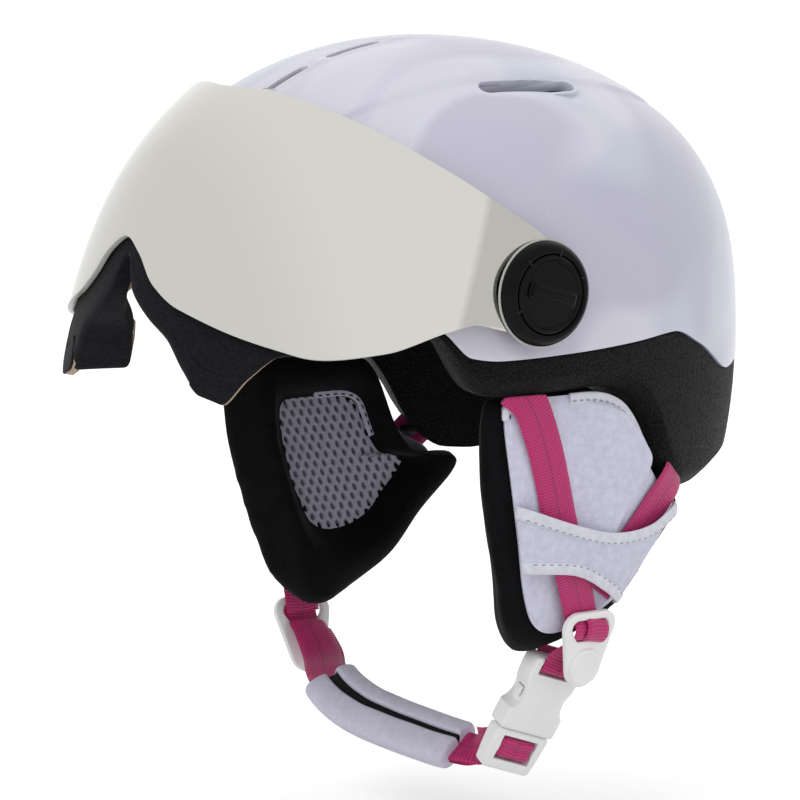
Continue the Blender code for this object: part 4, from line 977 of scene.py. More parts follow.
MAKERS = {
    "shell": shell_finish,
    "lens": lens_finish,
    "lens_inside": lambda: patterned("lens_tint", colours().lens_inside, "handling", (30.0, 300.0),
                                     (0.9, 1.1), (0.15, 0.3), tone_by="Height", Coat_Weight=0.4),
    "lens_edge": lens_edge_finish,
    "liner": lambda: patterned("liner_beads", colours().liner, "beads", (620.0, 2100.0), (0.35, 1.7),
                               (0.68, 0.42), (1.0, 0.0008), Specular_IOR_Level=0.08),
    "fleece": lambda: pile_finish("black_fleece", colours().fleece, (1300.0, 170.0), 0.05),
    "foam": lambda: pile_finish("face_foam", shade_of(colours().fleece, 2.4), (1500.0, 700.0), 0.08,
                                (0.4, 1.8)),
    "foam_core": lambda: pile_finish("bare_foam", (0.50, 0.38, 0.27, 1), (2600.0, 420.0), 0.1, (0.85, 1.12),
                                     0.0004),
    "black_felt": lambda: pile_finish("black_felt", DARK, (2400.0, 700.0), 0.1),
    "chin_fleece": lambda: pile_finish("chin_fleece", colours().chin_fleece, (1500.0, 260.0), 0.3,
                                       (0.86, 1.1), 0.0006),
    "cover": lambda: cloth_finish("woven_cover", colours().cover, 5600.0, 0.5),
    "binding": lambda: cloth_finish("binding_tape", colours().binding, 9500.0, 0.3),
    "spacer": spacer_finish,
    "spacer_tape": lambda: cloth_finish("spacer_tape", shade_of(colours().spacer, 1.25), 9000.0, 0.3),
    "grey_thread": lambda: thread_finish("grey_thread", (0.40, 0.40, 0.45, 1)),
    "black_thread": lambda: thread_finish("black_thread", DARK, (0.8, 1.2)),
    "webbing": lambda: patterned("webbing", colours().webbing, "ribs", (5200.0, 0.015), (0.6, 1.35), (0.55,),
                                 (0.5, 0.0005), Sheen_Weight=0.25, Sheen_Roughness=0.4),
    "white": lambda: plastic_finish("white_acetal", colours().white_plastic, (0.28, 0.42)),
    "knob": lambda: plastic_finish("gloss_black", colours().black_plastic, (0.1, 0.2), 0.08),
    "matte_black": lambda: plastic_finish("matte_black", shade_of(colours().black_plastic, 2.2), (0.45, 0.65),
                                          0.2, 700.0, 0.15),
    "anchor": lambda: plastic_finish("smoky_plastic", SMOKE, (0.3, 0.45), 0.2),
    "washer": lambda: plastic_finish("natural_acetal", (0.58, 0.58, 0.55, 1), (0.45, 0.6)),
    "steel": lambda: patterned("zinc_steel", (0.55, 0.55, 0.56, 1), "handling", (400.0, 2000.0), None,
                               (0.28, 0.5), Metallic=1.0),
}
FINISHES = {}


def finish(kind):
    """Material of a kind, made the first time it is asked for."""
    if kind not in FINISHES:
        FINISHES[kind] = MAKERS[kind]()
    return FINISHES[kind]


# Shell and liner

def shell_point(a, b):
    turn, radius = disc_place(a, b)
    angle = math.degrees(turn)
    rim = shell_rim(angle)
    point = dome(angle, rim + (sizes().height - rim) * (1 - radius * radius))
    return point - point.normalized() * shell_relief(point)


class HELMET_OT_shell(bpy.types.Operator):
    """Model the hard shell with its creases and vents"""

    bl_idname = "helmet.shell"
    bl_label = "Hard shell"

    def execute(self, context):
        shell = tidy_mesh(laid_grid("hard_shell", 190, 190, shell_point), recalculate=False)
        modify(shell, "SOLIDIFY", thickness=sizes().shell_wall, offset=-1)
        for vent in VENTS:
            cut(shell, vent_plug(vent, 1.4, -7.5, -3.3 if vent[0] else -4.4), "UNION")
            cut(shell, vent_plug(vent, 0, -30, 20))
        smooth(soften(shell, 0.5 * MM, 2, 55), 50)
        finish_piece(shell, "helmet", "shell", "shell", "outer_shell")
        return {"FINISHED"}


# Chamfer round the liner's bare rim: share of the way down it, depth in millimetres
LINER_CHAMFER = ((0.0, 0.45), (0.12, 0.8), (0.35, 1.9), (0.7, 3.9), (0.9, 5.3), (1.0, 6.6), (1.0, 9.0))
LINER_COLUMNS = 240


class HELMET_OT_liner(bpy.types.Operator):
    """Model the foam liner with its bare moulded rim"""

    bl_idname = "helmet.liner"
    bl_label = "Foam liner"

    def execute(self, context):
        form = sizes()
        inset = form.shell_wall + GAP
        deep = inset + form.liner_wall
        crown = form.height - inset
        columns = [360 * i / LINER_COLUMNS for i in range(LINER_COLUMNS)]
        tops = [shell_rim(angle) - GAP for angle in columns]
        lows = [liner_rim(angle) for angle in columns]
        ridges = [low + min(6.5 * MM, 0.6 * (top - low)) for top, low in zip(tops, lows)]
        rings = []

        def lay(heights, depth):
            rings.append([dome(angle, z, depth) for angle, z in zip(columns, heights)])

        for share in (0.0, 0.12, 0.25, 0.4, 0.55, 0.7, 0.85, 0.95):
            climb = share * share
            lay([crown - (crown - top) * climb for top in tops], inset)
        lay(tops, inset)
        lay(tops, 1.0 * MM)
        lay([top - 0.5 * MM for top in tops], 0.5 * MM)
        for share in (0.15, 0.35, 0.55, 0.75, 0.9):
            lay([top + (ridge - top) * share for top, ridge in zip(tops, ridges)], 0.4 * MM)
        for share, depth in LINER_CHAMFER:
            lay([ridge + (low - ridge) * share for ridge, low in zip(ridges, lows)], depth * MM)
        lay(lows, deep - 2 * MM)
        for share in (0.0, 0.04, 0.1, 0.2, 0.3, 0.42, 0.55, 0.7, 0.85, 1.0):
            climb = 1 - (1 - share) ** 2
            lay([low + (form.height - deep - low) * climb for low in lows], deep)
        liner = loft("foam_liner", rings)
        for vent in VENTS:
            cut(liner, vent_plug(vent, 1.6, -45, 20))
        finish_piece(smooth(liner, 38), "helmet", "liner", "liner", "eps_liner")
        return {"FINISHED"}


# Visor

# How far the lens stands out from the shell's sides and ahead of its pivots, and how softly it bows
LENS_CLEAR = 5 * MM
LENS_AHEAD = 8 * MM
LENS_BOW = 15 * MM

# Half the lens's run, with its round ends, as a share of the way from the middle to a pivot
LENS_SPAN = 1.22

# Hole in the lens for a pivot: distance out along X and radius
BORE_PROFILE = ((90 * MM, 0), (90 * MM, 6.4 * MM), (115 * MM, 6.4 * MM), (115 * MM, 0))

# How far along the visor the face foam, its lobes and the bare crests on them run, and the crest's section
FOAM_SPAN = 0.6
LOBE_SPAN = (0.25, 0.47)
CREST_START = 0.19
CREST_RUN = 0.13
CREST_SHAPE = ((0.44, 0.72), (0.27, 1.0), (0.12, 1.0), (0.3, 0.72))
FOAM_FILL = 0.8


def visor_axes():
    turn = sizes().visor_lift
    ahead = Vector((0, -math.cos(turn), math.sin(turn)))
    rise = Vector((0, math.sin(turn), math.cos(turn)))
    return ahead, rise


def lens_point(along, up, inset=0.0):
    """Point of the visor: along runs from -1 to 1 between the pivots, up is height in its own plane."""
    form = sizes()
    ahead, rise = visor_axes()
    half = form.half_width + LENS_CLEAR - inset
    across = half * math.sin(along * math.pi / 2)
    bow = LENS_BOW ** 1.562
    widest = (half ** 2 + LENS_BOW ** 2) ** 0.781 - bow
    share = ((across ** 2 + LENS_BOW ** 2) ** 0.781 - bow) / widest
    front = form.lens_reach - inset - 0.2303 * up - 4.9 * up * up
    forward = LENS_AHEAD + (front - LENS_AHEAD) * max(0.0, 1 - share) ** 0.7414
    forward += 4.2 * MM * 4 * share * (1 - share)
    return PIVOT + Vector((across, 0, 0)) + ahead * forward + rise * up


def visor_point(a, b):
    """Point of the lens, whose ends close in a round behind the pivots."""
    along = a * LENS_SPAN
    place = min(abs(along), 1)
    low = curve_value(LENS_BOTTOM, place) * MM
    high = curve_value(LENS_TOP, place) * MM
    up = low + (high - low) * (b + 1) / 2
    if abs(along) <= 1:
        return lens_point(along, up)
    ahead, rise = visor_axes()
    turn = (abs(along) - 1) / (LENS_SPAN - 1) * math.pi / 2
    back = (sizes().knob_radius + 1.3 * MM) * math.sin(turn)
    taper = math.cos(turn) * (1 - 0.55 * math.sin(turn) * math.cos(turn))
    start = lens_point(math.copysign(1, along), 0)
    flat = Vector((start.x, PIVOT.y, PIVOT.z)) + ahead * LENS_AHEAD * (1 - math.sin(turn))
    return flat - ahead * back + rise * (up * taper)


def foam_height(place):
    return (curve_value(FOAM_HIGH, place) - curve_value(FOAM_LOW, place)) * MM


def foam_point(along, up, d):
    """Point in the face foam: up from its lower edge, and a share of its depth."""
    place = abs(along)
    low = curve_value(FOAM_LOW, place) * MM
    deep = curve_value(FOAM_DEPTH, place) * MM
    base = 3 * MM / deep if deep > 6 * MM else 0.5
    rise = 0.45 * deep * max(d - base, 0)
    return lens_point(along, low + up + rise, sizes().lens_wall + 0.9 * MM + deep * d)


def foam_ring(along):
    """Section of the face foam at a place along the visor."""
    place = abs(along)
    step = curve_value(LOBE_STEP, place) * MM
    tall = foam_height(place) - step
    return [foam_point(along, step + tall * h, d) for h, d in rounded(FOAM_SHAPE, 0.13)]


def foam_layer(name, side, corners):
    """Layer of the foam's lobe, its corners given by height and by millimetres in from the lens side."""
    start, stop = LOBE_SPAN
    section = rounded(corners, 0.5, 3)
    rings = []
    for i in range(41):
        place = start + (stop - start) * i / 40
        deep = curve_value(FOAM_DEPTH, place)
        rings.append([foam_point(side * place, up * MM, inset / deep) for up, inset in section])
    return loft(name, rings)


def foam_crest(name, side):
    """Bare end of the core on the lobe's inner crest."""
    rings = []
    for i in range(31):
        place = CREST_START + CREST_RUN * i / 30
        tall = foam_height(place)
        sink = 2.2 * MM * abs(i / 15 - 1) ** 6
        rings.append([foam_point(side * place, tall * h - sink, d) for h, d in CREST_SHAPE])
    return loft(name, rings)


class HELMET_OT_visor(bpy.types.Operator):
    """Model the mirrored visor and the soft foam along its lower edge"""

    bl_idname = "helmet.visor"
    bl_label = "Visor"

    def execute(self, context):
        lens = laid_grid("visor_mirror", 244, 30, visor_point)
        for kind in ("lens", "lens_inside", "lens_edge"):
            lens.data.materials.append(finish(kind))
        walled(lens, Vector((0, 0, 0.03)), sizes().lens_wall, material_offset=1, material_offset_rim=2)
        soften(lens, 0.45 * MM, 2, 60, material=2)
        for side in (LEFT, RIGHT):
            cut(lens, turned("bore", BORE_PROFILE, side, 40))
        finish_piece(smooth(lens), "visor", "lens", None, "visor_lens")

        count = 180
        rings = [foam_ring(FOAM_SPAN * (2 * i / count - 1)) for i in range(count + 1)]
        foam = smooth(loft("visor_foam_pad", rings), 60)
        finish_piece(foam, "visor", "foam", "foam", "visor_face_foam", fill=FOAM_FILL)
        for side, label in SIDES:
            for layer, kind, corners in FOAM_LAYERS:
                item = smooth(foam_layer(f"{label}_foam_{layer}", side, corners), 50)
                finish_piece(item, "visor", "foam", kind, fill=FOAM_FILL)
            crest = smooth(foam_crest(label + "_foam_crest", side), 50)
            finish_piece(crest, "visor", "foam", "foam_core", fill=FOAM_FILL)
        return {"FINISHED"}


# Pivots

# Frame nodes that are already right and only need a finish
PIVOT_NODES = (("pivot_boss", "matte_black"), ("friction_washer", "washer"), ("pivot_screw", "steel"),
               ("pivot_nut", "steel"))

# Places of the marks on a lock ring, in degrees
TICK_TURNS = (20, 74, 128, 200)


def lock_ring(side, label, radius, well, foot, floor, top):
    """Fixed ring round a lock knob, with the pale trim under it and the marks on its face."""
    profile = [(foot, 3.4 * MM), (foot, radius - 0.5 * MM), (foot + 0.5 * MM, radius),
               (foot + 2.2 * MM, radius - 0.35 * MM), (foot + 3.9 * MM, radius - 1.2 * MM),
               (top - 0.5 * MM, radius - 2.3 * MM), (top, radius - 3.3 * MM), (top, well + 0.6 * MM),
               (top - 0.6 * MM, well), (floor, well), (floor, 3.4 * MM)]
    ring = turned(label + "_lock_ring", rounded(profile, 0.5 * MM, 3), side, 96, loop=True)
    ticks = []
    reach = radius - 3.9 * MM
    for degrees in TICK_TURNS:
        turn = math.radians(degrees)
        spot = PIVOT + Vector((side * (top - 0.02 * MM), reach * math.cos(turn), reach * math.sin(turn)))
        tick = rounded_box("tick", (0.5 * MM, 0.7 * MM, 2.4 * MM), 0.15 * MM, 2)
        ticks.append(settle(tick, Matrix.Translation(spot) @ Matrix.Rotation(turn - math.pi / 2, 4, "X")))
    finish_piece(smooth(ring), "helmet", "knob", "knob", label + "_knob_ring")
    profile = ((foot + 0.05 * MM, radius - 1 * MM), (foot + 0.05 * MM, radius + 0.6 * MM),
               (foot + 0.5 * MM, radius + 0.65 * MM), (foot + 0.8 * MM, radius - 1 * MM))
    trim = turned(label + "_ring_trim", profile, side, 96, loop=True)
    finish_piece(smooth(trim), "helmet", "knob", "lens_edge")
    finish_piece(smooth(join(label + "_ring_ticks", ticks)), "helmet", "knob", "matte_black")


def turn_disc(side, label, disc, start, level):
    """Turning disc of a lock knob, with a grip bar across it."""
    profile = [(start, 0), (start, disc), (level - 0.5 * MM, disc), (level, disc - 0.7 * MM),
               (level, disc - 1.6 * MM), (level - 0.35 * MM, disc - 2.0 * MM),
               (level - 0.35 * MM, disc - 2.5 * MM), (level, disc - 2.9 * MM), (level + 0.25 * MM, 0)]
    knob = turned(label + "_turn_disc", profile, side, 96)
    bar = rounded_box("bar", (3.4 * MM, 22 * MM, 6 * MM), 1.5 * MM, 5)
    for vertex in bar.data.vertices:
        if vertex.co.x * side > 0:
            vertex.co.z *= 0.78
            vertex.co.y *= 0.94
    middle = PIVOT + Vector((side * (level + 0.9 * MM), 0, 0))
    settle(bar, Matrix.Translation(middle) @ Matrix.Rotation(math.radians(-16), 4, "X"))
    cut(knob, bar, "UNION")
    finish_piece(smooth(knob, 35), label + "_knob", "knob", "knob", label + "_turn_knob")


class HELMET_OT_pivots(bpy.types.Operator):
    """Model the lock knobs and finish the pivots behind them"""

    bl_idname = "helmet.pivots"
    bl_label = "Pivots and lock knobs"

    def execute(self, context):
        form = sizes()
        radius = form.knob_radius
        well = radius - 4.8 * MM
        foot = form.half_width + LENS_CLEAR + GAP
        floor = foot + 1.6 * MM
        top = foot + 5.5 * MM
        start = floor + 2.7 * MM
        level = max(top - 0.2 * MM, start + 1.4 * MM)
        for side, label in SIDES:
            lock_ring(side, label, radius, well, foot, floor, top)
            turn_disc(side, label, well - GAP, start, level)
            for node, kind in PIVOT_NODES:
                paint(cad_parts[f"{label}_{node}"], kind)
        return {"FINISHED"}


# Comfort pads and size adjuster

# Crown pad from its back to its face: share of its radius, share of its thickness
CROWN_LAYERS = ((0.02, 0), (0.35, 0), (0.7, 0), (0.95, 0), (1, 0.12), (1, 0.3), (0.96, 0.6), (0.88, 0.8),
                (0.65, 1), (0.3, 1), (0.02, 1))
CROWN_RADIUS = 37.5 * MM

# Dial from its back to its face: share of its width, share of its radius, depth of its teeth
DIAL_LAYERS = ((0, 0.1, 0), (0, 0.88, 0), (0.08, 0.96, 0.4), (0.18, 1, 1), (0.78, 1, 1), (0.92, 0.965, 0.5),
               (1, 0.9, 0), (1, 0.8, 0), (0.9, 0.74, 0), (0.9, 0.1, 0))
DIAL_TEETH = 36


def crowned(u, v):
    return ((1 - abs(2 * u - 1) ** 4) * (1 - abs(2 * v - 1) ** 4)) ** 0.5


def liner_pad(name, patch, thickness, inset, columns, rows):
    """Cushion on a patch of the form, crowned towards the head."""
    first, last, low, high = patch
    rings = []
    for i in range(columns + 1):
        u = i / columns
        angle = first + (last - first) * u
        heights = [(low + (high - low) * j / rows) * MM for j in range(rows + 1)]
        back = [dome(angle, z, inset) for z in heights]
        face = [dome(angle, z, inset + 2 * MM + (thickness - 2 * MM) * crowned(u, j / rows))
                for j, z in enumerate(heights)]
        rings.append(back + list(reversed(face)))
    return loft(name, rings)


def stuffed(pad, body, node):
    finish_piece(swell(pad, 3.5 * MM), body, "comfort_pad", "fleece", node, fill=0.7)


class HELMET_OT_comfort_pads(bpy.types.Operator):
    """Model the stuffed comfort pads inside the liner"""

    bl_idname = "helmet.comfort_pads"
    bl_label = "Comfort pads"

    def execute(self, context):
        form = sizes()
        seat = form.shell_wall + GAP + form.liner_wall + 1.5 * MM
        back = seat + 0.5 * MM
        thick = form.pad_thickness - 1 * MM
        brow = liner_pad("brow_cushion", (-51.5, 51.5, 33.5, 57.5), thick, back, 60, 14)
        stuffed(brow, "helmet", "brow_pad")
        for side, label in SIDES:
            patch = (66.5 * side, 121.5 * side, 14.5, 47.5)
            pad = liner_pad(label + "_side_cushion", patch, thick, back, 36, 16)
            stuffed(pad, "helmet", label + "_side_pad")
        rings = []
        for share, full in CROWN_LAYERS:
            ring = []
            for c, s in circle(48):
                x = CROWN_RADIUS * share * c
                y = 18 * MM + CROWN_RADIUS * share * s
                ring.append(Vector((x, y, dome_height(x, y, back + thick * full))))
            rings.append(ring)
        stuffed(loft("crown_cushion", rings), "helmet", "crown_pad")
        nape = liner_pad("nape_cushion", (150.5, 209.5, -36.5, -19.5), thick, seat + 3.4 * MM, 36, 12)
        stuffed(nape, "fit_cradle_body", "nape_pad")
        return {"FINISHED"}


class HELMET_OT_size_adjuster(bpy.types.Operator):
    """Model the nape cradle, its housing and the dial"""

    bl_idname = "helmet.size_adjuster"
    bl_label = "Size adjuster"

    def execute(self, context):
        soften_node("fit_cradle", "nape_cradle", 0.6 * MM, "matte_black", "fit_plastic", "fit_cradle_body")
        soften_node("fit_housing", "dial_housing", 1.2 * MM, "matte_black", "fit_plastic", "fit_cradle_body")
        low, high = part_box("fit_dial")
        centre = Vector((0, low.y, (low.z + high.z) / 2))
        radius = (high.z - low.z) / 2
        width = high.y - low.y
        steps = DIAL_TEETH * 6
        rings = []
        for reach, share, depth in DIAL_LAYERS:
            ring = []
            for i in range(steps):
                turn = 2 * math.pi * i / steps
                rib = 0.5 * MM * depth * (0.5 - 0.5 * math.cos(DIAL_TEETH * turn))
                out = radius * share - rib
                ring.append(centre + Vector((out * math.cos(turn), width * reach, out * math.sin(turn))))
            rings.append(ring)
        dial = smooth(loft("size_dial", rings), 45)
        finish_piece(dial, "fit_dial_body", "dial", "matte_black", "fit_dial")
        return {"FINISHED"}


# Ear pads

# Point inside the head that the ear pads' cloth faces away from
HEAD = Vector((0, 10 * MM, -50 * MM))

# Shares of the way out to an outline at which the mesh is sewn, and the cover's tape and its seam lie
MESH_SEAM_SHARE = 0.545
TAPE_SHARE = 0.965
TAPE_SEAM_SHARE = TAPE_SHARE - 0.02

# Steps round the cover's outline, along a row of stitches and along the pocket band
TAPE_STEPS = 260
STITCH_POINTS = 400
POCKET_STEPS = 90


def ear_level():
    return liner_rim(90)


def ear_face(y, z):
    drop = z - ear_level()
    return sizes().half_width - 7 * MM - 1.3 * drop * drop - 2.8 * (y - 5 * MM) ** 2


def ear_point(side, y, z, lift=0.0):
    """Point at a lift from the ear cover's face, or behind it if negative."""
    return Vector((side * (ear_face(y, z) + lift), y, z))


def ear_normal(side, y, z):
    step = 1 * MM
    lean = (ear_face(y, z + step) - ear_face(y, z - step)) / (2 * step)
    curl = (ear_face(y + step, z) - ear_face(y - step, z)) / (2 * step)
    return Vector((side, -curl, -lean)).normalized()


def ear_points(side, spots, lift):
    return [ear_point(side, spot.x, spot.y, lift) for spot in spots]


def ear_normals(side, spots):
    return [ear_normal(side, spot.x, spot.y) for spot in spots]


def ear_route(points):
    """Places in metres of points given from the liner's lower edge."""
    return [(y * MM, z * MM + ear_level()) for y, z in points]


def flat_points(points):
    return [Vector((y, z, 0)) for y, z in ear_route(points)]


def flat_point(point):
    return flat_points((point,))[0]


def shrunk(points, middle, share):
    """Points drawn in towards a middle."""
    return [middle + (point - middle) * share for point in points]


def patch_spot(outline, middle, a, b, share=1.0):
    """Place on a flat patch of a point of a square grid, and its share of the way to the edge."""
    turn, radius = disc_place(a, b)
    edge = spline_point(outline, turn / (2 * math.pi), loop=True)
    return middle + (edge - middle) * radius * share, radius


def turn_share(outline, middle, turn):
    """Share of the way round an outline at which it lies in a direction from the middle."""
    way = Vector((math.cos(turn), math.sin(turn), 0))
    matches = [(point - middle).normalized().dot(way) for point in outline]
    return matches.index(max(matches)) / len(outline)


def tape(name, points, normals, width, wall, slot, kind):
    """Flat tape with round edges along a line, its face towards the normals."""
    rings = []
    for point, normal, ahead in zip(points, normals, directions(points)):
        across = normal.cross(ahead).normalized()
        ring = []
        for c, s in circle(12):
            u = squared_off(c, 0.6) * width / 2
            v = squared_off(s, 0.8) * wall / 2
            ring.append(point + across * u + normal * v)
        rings.append(ring)
    finish_piece(smooth(loft(name, rings), 60), "helmet", slot, kind)


def stitch_row(name, points, normals, slot, kind):
    """Row of stitches along a line: one stitch is modelled and copied."""
    size = sizes().stitch
    line = even(points, STITCH_POINTS)
    last = STITCH_POINTS - 1
    count = max(2, int(run_length(line) / (size * 1.55)))
    bpy.ops.mesh.primitive_uv_sphere_add(segments=6, ring_count=5, radius=1)
    stitch = name_piece(name)
    shape = np.array([v.co for v in stitch.data.vertices])
    faces = [tuple(p.vertices) for p in stitch.data.polygons]
    verts = []
    polygons = []
    for i in range(count):
        k = int((i + 0.5) / count * last)
        normal = normals[int((i + 0.5) / count * (len(normals) - 1))]
        ahead = (line[min(k + 1, last)] - line[max(k - 1, 0)]).normalized()
        across = normal.cross(ahead).normalized()
        base = len(verts)
        for x, y, z in shape:
            bow = 0.12 * MM * (1 - z * z)
            sideways = across * x * 0.33 * MM
            verts.append(line[k] + ahead * z * size / 2 + sideways + normal * (y * 0.26 * MM + bow))
        polygons += [tuple(base + v for v in face) for face in faces]
    mesh = bpy.data.meshes.new(name)
    mesh.from_pydata(verts, [], polygons)
    stitch.data = mesh
    finish_piece(smooth(stitch, 80), "helmet", slot, kind)


def lobe(place, middle, low):
    """Share of the soft lobe that hangs inside the jaw."""
    down = max(0.0, (middle.y - place.y) / (middle.y - low))
    return down ** 3 * math.exp(-((place.x - 2 * MM) / (15 * MM)) ** 2)


def ear_cushion(side, label):
    """Fleece ring that closes round the ear, hollowed over it."""
    outline = spline(flat_points(EAR_OUTLINE), 120, loop=True)
    middle = flat_point(WELL_CENTRE)
    low = min(p.y for p in outline)
    rings = []
    for share, depth, sag in CUSHION_LAYERS:
        near_back = 1 - smooth_step(8, 14, depth)
        ring = []
        for place in shrunk(outline, middle, share):
            drop = 6 * MM * sag * lobe(place, middle, low)
            front = smooth_step(-2 * MM, 26 * MM, -place.x)
            rear = smooth_step(24 * MM, 44 * MM, place.x) * near_back * smooth_step(0.9, 1, share)
            pull = (3 + 6 * smooth_step(3, 16, depth)) * front * smooth_step(0.6, 0.9, share) + 2.6 * rear
            ring.append(ear_point(side, place.x + pull * MM, place.y - drop, (1.8 * rear - depth) * MM))
        rings.append(ring)
    cushion = swell(loft(label + "_fleece_cushion", rings), 3 * MM)
    for vertex in cushion.data.vertices:
        point = vertex.co
        limit = ear_face(point.y, point.z) - 3.3 * MM
        if abs(point.x) > limit:
            point.x = side * limit
        point.z = min(point.z, ear_level() - 1.2 * MM)
    finish_piece(cushion, "helmet", "ear_cushion", "fleece", label + "_ear_cushion", fill=0.75)


def cover_lift(y, z):
    """Small unevenness of the cover's cloth."""
    return 0.16 * MM * ruffle(Vector((y, z, y + z)), 90, 1.3)


def ear_cover(side, label):
    """Woven cover on the outside of the pad."""
    outline = flat_points(COVER_OUTLINE)
    middle = flat_point(COVER_CENTRE)

    def place(a, b):
        spot, radius = patch_spot(outline, middle, a, b)
        sink = 0.9 * MM * smooth_step(0.93, 1.0, radius)
        return ear_point(side, spot.x, spot.y, cover_lift(spot.x, spot.y) - sink)

    cover = walled(laid_grid(label + "_cover_cloth", 90, 90, place), HEAD, 2.1 * MM)
    smooth(soften(cover, 0.6 * MM, 2, 50), 50)
    finish_piece(cover, "helmet", "ear_cover", "cover", label + "_ear_cover", fill=0.3)


def cover_panel(side, label):
    """Panel of the cover that stands up towards its rear edge."""
    outline = flat_points(PANEL_OUTLINE)
    middle = flat_point(PANEL_CENTRE)

    def place(a, b):
        spot, radius = patch_spot(outline, middle, a, b)
        rise = 4.4 * MM * smooth_step(8 * MM, 30 * MM, spot.x) + 0.15 * MM
        puff = rise * (1 - smooth_step(0.9, 1.0, radius) * 0.95)
        return ear_point(side, spot.x, spot.y, puff + cover_lift(spot.x, spot.y))

    panel = walled(laid_grid(label + "_cover_panel", 70, 70, place), HEAD, 0.6 * MM)
    finish_piece(smooth(panel, 50), "helmet", "ear_cover", "cover")
    spline(outline, 120, loop=True)


def edge_tapes(side, label):
    """Tape round the cover's edge and the stitches in it."""
    edge = spline(flat_points(COVER_OUTLINE), TAPE_STEPS, loop=True)
    middle = flat_point(COVER_CENTRE)
    for name, first, last, thread in (("corner", -9, 4, "black_thread"), ("rear", 16, 86, "grey_thread")):
        part = [edge[i % TAPE_STEPS] for i in range(first, last + 1)]
        spots = shrunk(part, middle, TAPE_SHARE)
        normals = ear_normals(side, spots)
        line = ear_points(side, spots, 0.05 * MM)
        seam = ear_points(side, shrunk(part, middle, TAPE_SEAM_SHARE), 0.95 * MM)
        tape(f"{label}_{name}_edge_tape", line, normals, 4.4 * MM, 1.5 * MM, "ear_cover", "binding")
        stitch_row(f"{label}_{name}_edge_stitches", seam, normals, "ear_cover", thread)


def ear_mesh(side, label):
    """Spacer mesh in the well over the ear, knitted with rows of shallow holes that carry painted shade, and
    bound along the top.
    """
    outline = spline(flat_points(EAR_OUTLINE), 120, loop=True)
    middle = flat_point(WELL_CENTRE)
    pitch = 4.1 * MM
    row_step = 3.4 * MM
    holes = []

    def place(a, b):
        spot, radius = patch_spot(outline, middle, a, b, WELL_SHARE)
        slant = spot.x + 0.25 * spot.y
        row = round(spot.y / row_step)
        off = (slant - 0.5 * pitch * (row % 2)) / pitch
        away = math.hypot((off - round(off)) * pitch / 0.95, (spot.y - row * row_step) / 1.5)
        hole = 1 - smooth_step(0.62 * MM, 1.15 * MM, away)
        holes.append(hole)
        depth = 14.3 * MM + 1.2 * MM * (1 - radius ** 4) - 0.8 * MM * hole
        return ear_point(side, spot.x, spot.y, -depth)

    mesh = laid_grid(label + "_spacer_mesh", 150, 150, place)
    # The holes' share is kept as an attribute, which the mesh's finish turns into painted shade
    attribute = mesh.data.attributes.new("hole", "FLOAT", "POINT")
    attribute.data.foreach_set("value", np.array(holes, np.float32))
    face_out(mesh, Vector((side * 0.2, 0, -50 * MM)))
    modify(mesh, "SOLIDIFY", thickness=1.1 * MM, offset=-1)
    finish_piece(smooth(mesh, 60), "helmet", "ear_mesh", "spacer", label + "_ear_mesh")

    begin = turn_share(outline, middle, math.pi * 0.66)
    end = turn_share(outline, middle, math.pi * 0.2)
    edge = [spline_point(outline, begin + (end - begin) * i / 59, loop=True) for i in range(60)]
    sewn = shrunk(edge, middle, MESH_SEAM_SHARE)
    normals = [-normal for normal in ear_normals(side, sewn)]
    line = ear_points(side, shrunk(edge, middle, WELL_SHARE), -16.2 * MM)
    seam = ear_points(side, sewn, -16.9 * MM)
    tape(label + "_mesh_binding", line, normals, 4.2 * MM, 1.3 * MM, "ear_mesh", "spacer_tape")
    stitch_row(label + "_mesh_stitches", seam, normals, "ear_mesh", "black_thread")


def pocket_rise(share):
    return GAP + (4.8 * MM - GAP) * math.sin(math.pi * min(max(share, 0.0), 1.0)) ** 0.2


def pocket_spot(along, up):
    """Place on the pocket band's flat pattern."""
    top = spline_point(flat_points(POCKET_TOP), along)
    low = spline_point(flat_points(POCKET_BOTTOM), along)
    return low.lerp(top, up)


def pocket_point(side, along, up, lift=0.0):
    spot = pocket_spot(along, up)
    sag = 0.35 * MM * ruffle(Vector((spot.x, spot.y, 0)), 110, 0.4)
    return ear_point(side, spot.x, spot.y, pocket_rise(along) + 1.1 * MM + sag + lift)


def pocket_seam(side, along, up, spots, away):
    """Line of stitches beside a long edge of the pocket band, a way down from it in millimetres."""
    seam = []
    for share, spot, ahead in zip(along, spots, directions(spots)):
        down = Vector((ahead.y, -ahead.x, 0))
        if down.y > 0:
            down = -down
        shifted = spot + down * away * MM
        lift = (pocket_point(side, share, up) - ear_point(side, spot.x, spot.y)).length
        seam.append(ear_point(side, shifted.x, shifted.y, lift + 0.72 * MM))
    return seam


def pocket_band(side, label):
    """Cloth band that the straps run behind, bound with tape along both long edges."""
    band = laid_grid(label + "_pocket_cloth", 110, 24,
                     lambda a, b: pocket_point(side, (a + 1) / 2, (b + 1) / 2))
    walled(band, HEAD, 1 * MM)
    finish_piece(smooth(band, 50), "helmet", "ear_cover", "cover", label + "_ear_pocket_band")
    run = run_length(spline(flat_points(POCKET_TOP), 81))
    along = [i / POCKET_STEPS for i in range(POCKET_STEPS + 1)]
    for name, up, away in (("upper", 0.97, 1.7), ("lower", 0.03, -1.6)):
        spots = [pocket_spot(share, up) for share in along]
        normals = ear_normals(side, spots)
        line = [pocket_point(side, share, up, 0.25 * MM) for share in along]
        tape(f"{label}_{name}_binding", line, normals, 4.6 * MM, 1.5 * MM, "ear_cover", "binding")
        seam = pocket_seam(side, along, up, spots, away)
        stitch_row(f"{label}_{name}_stitches", seam[2:-2], normals[2:-2], "ear_cover", "grey_thread")


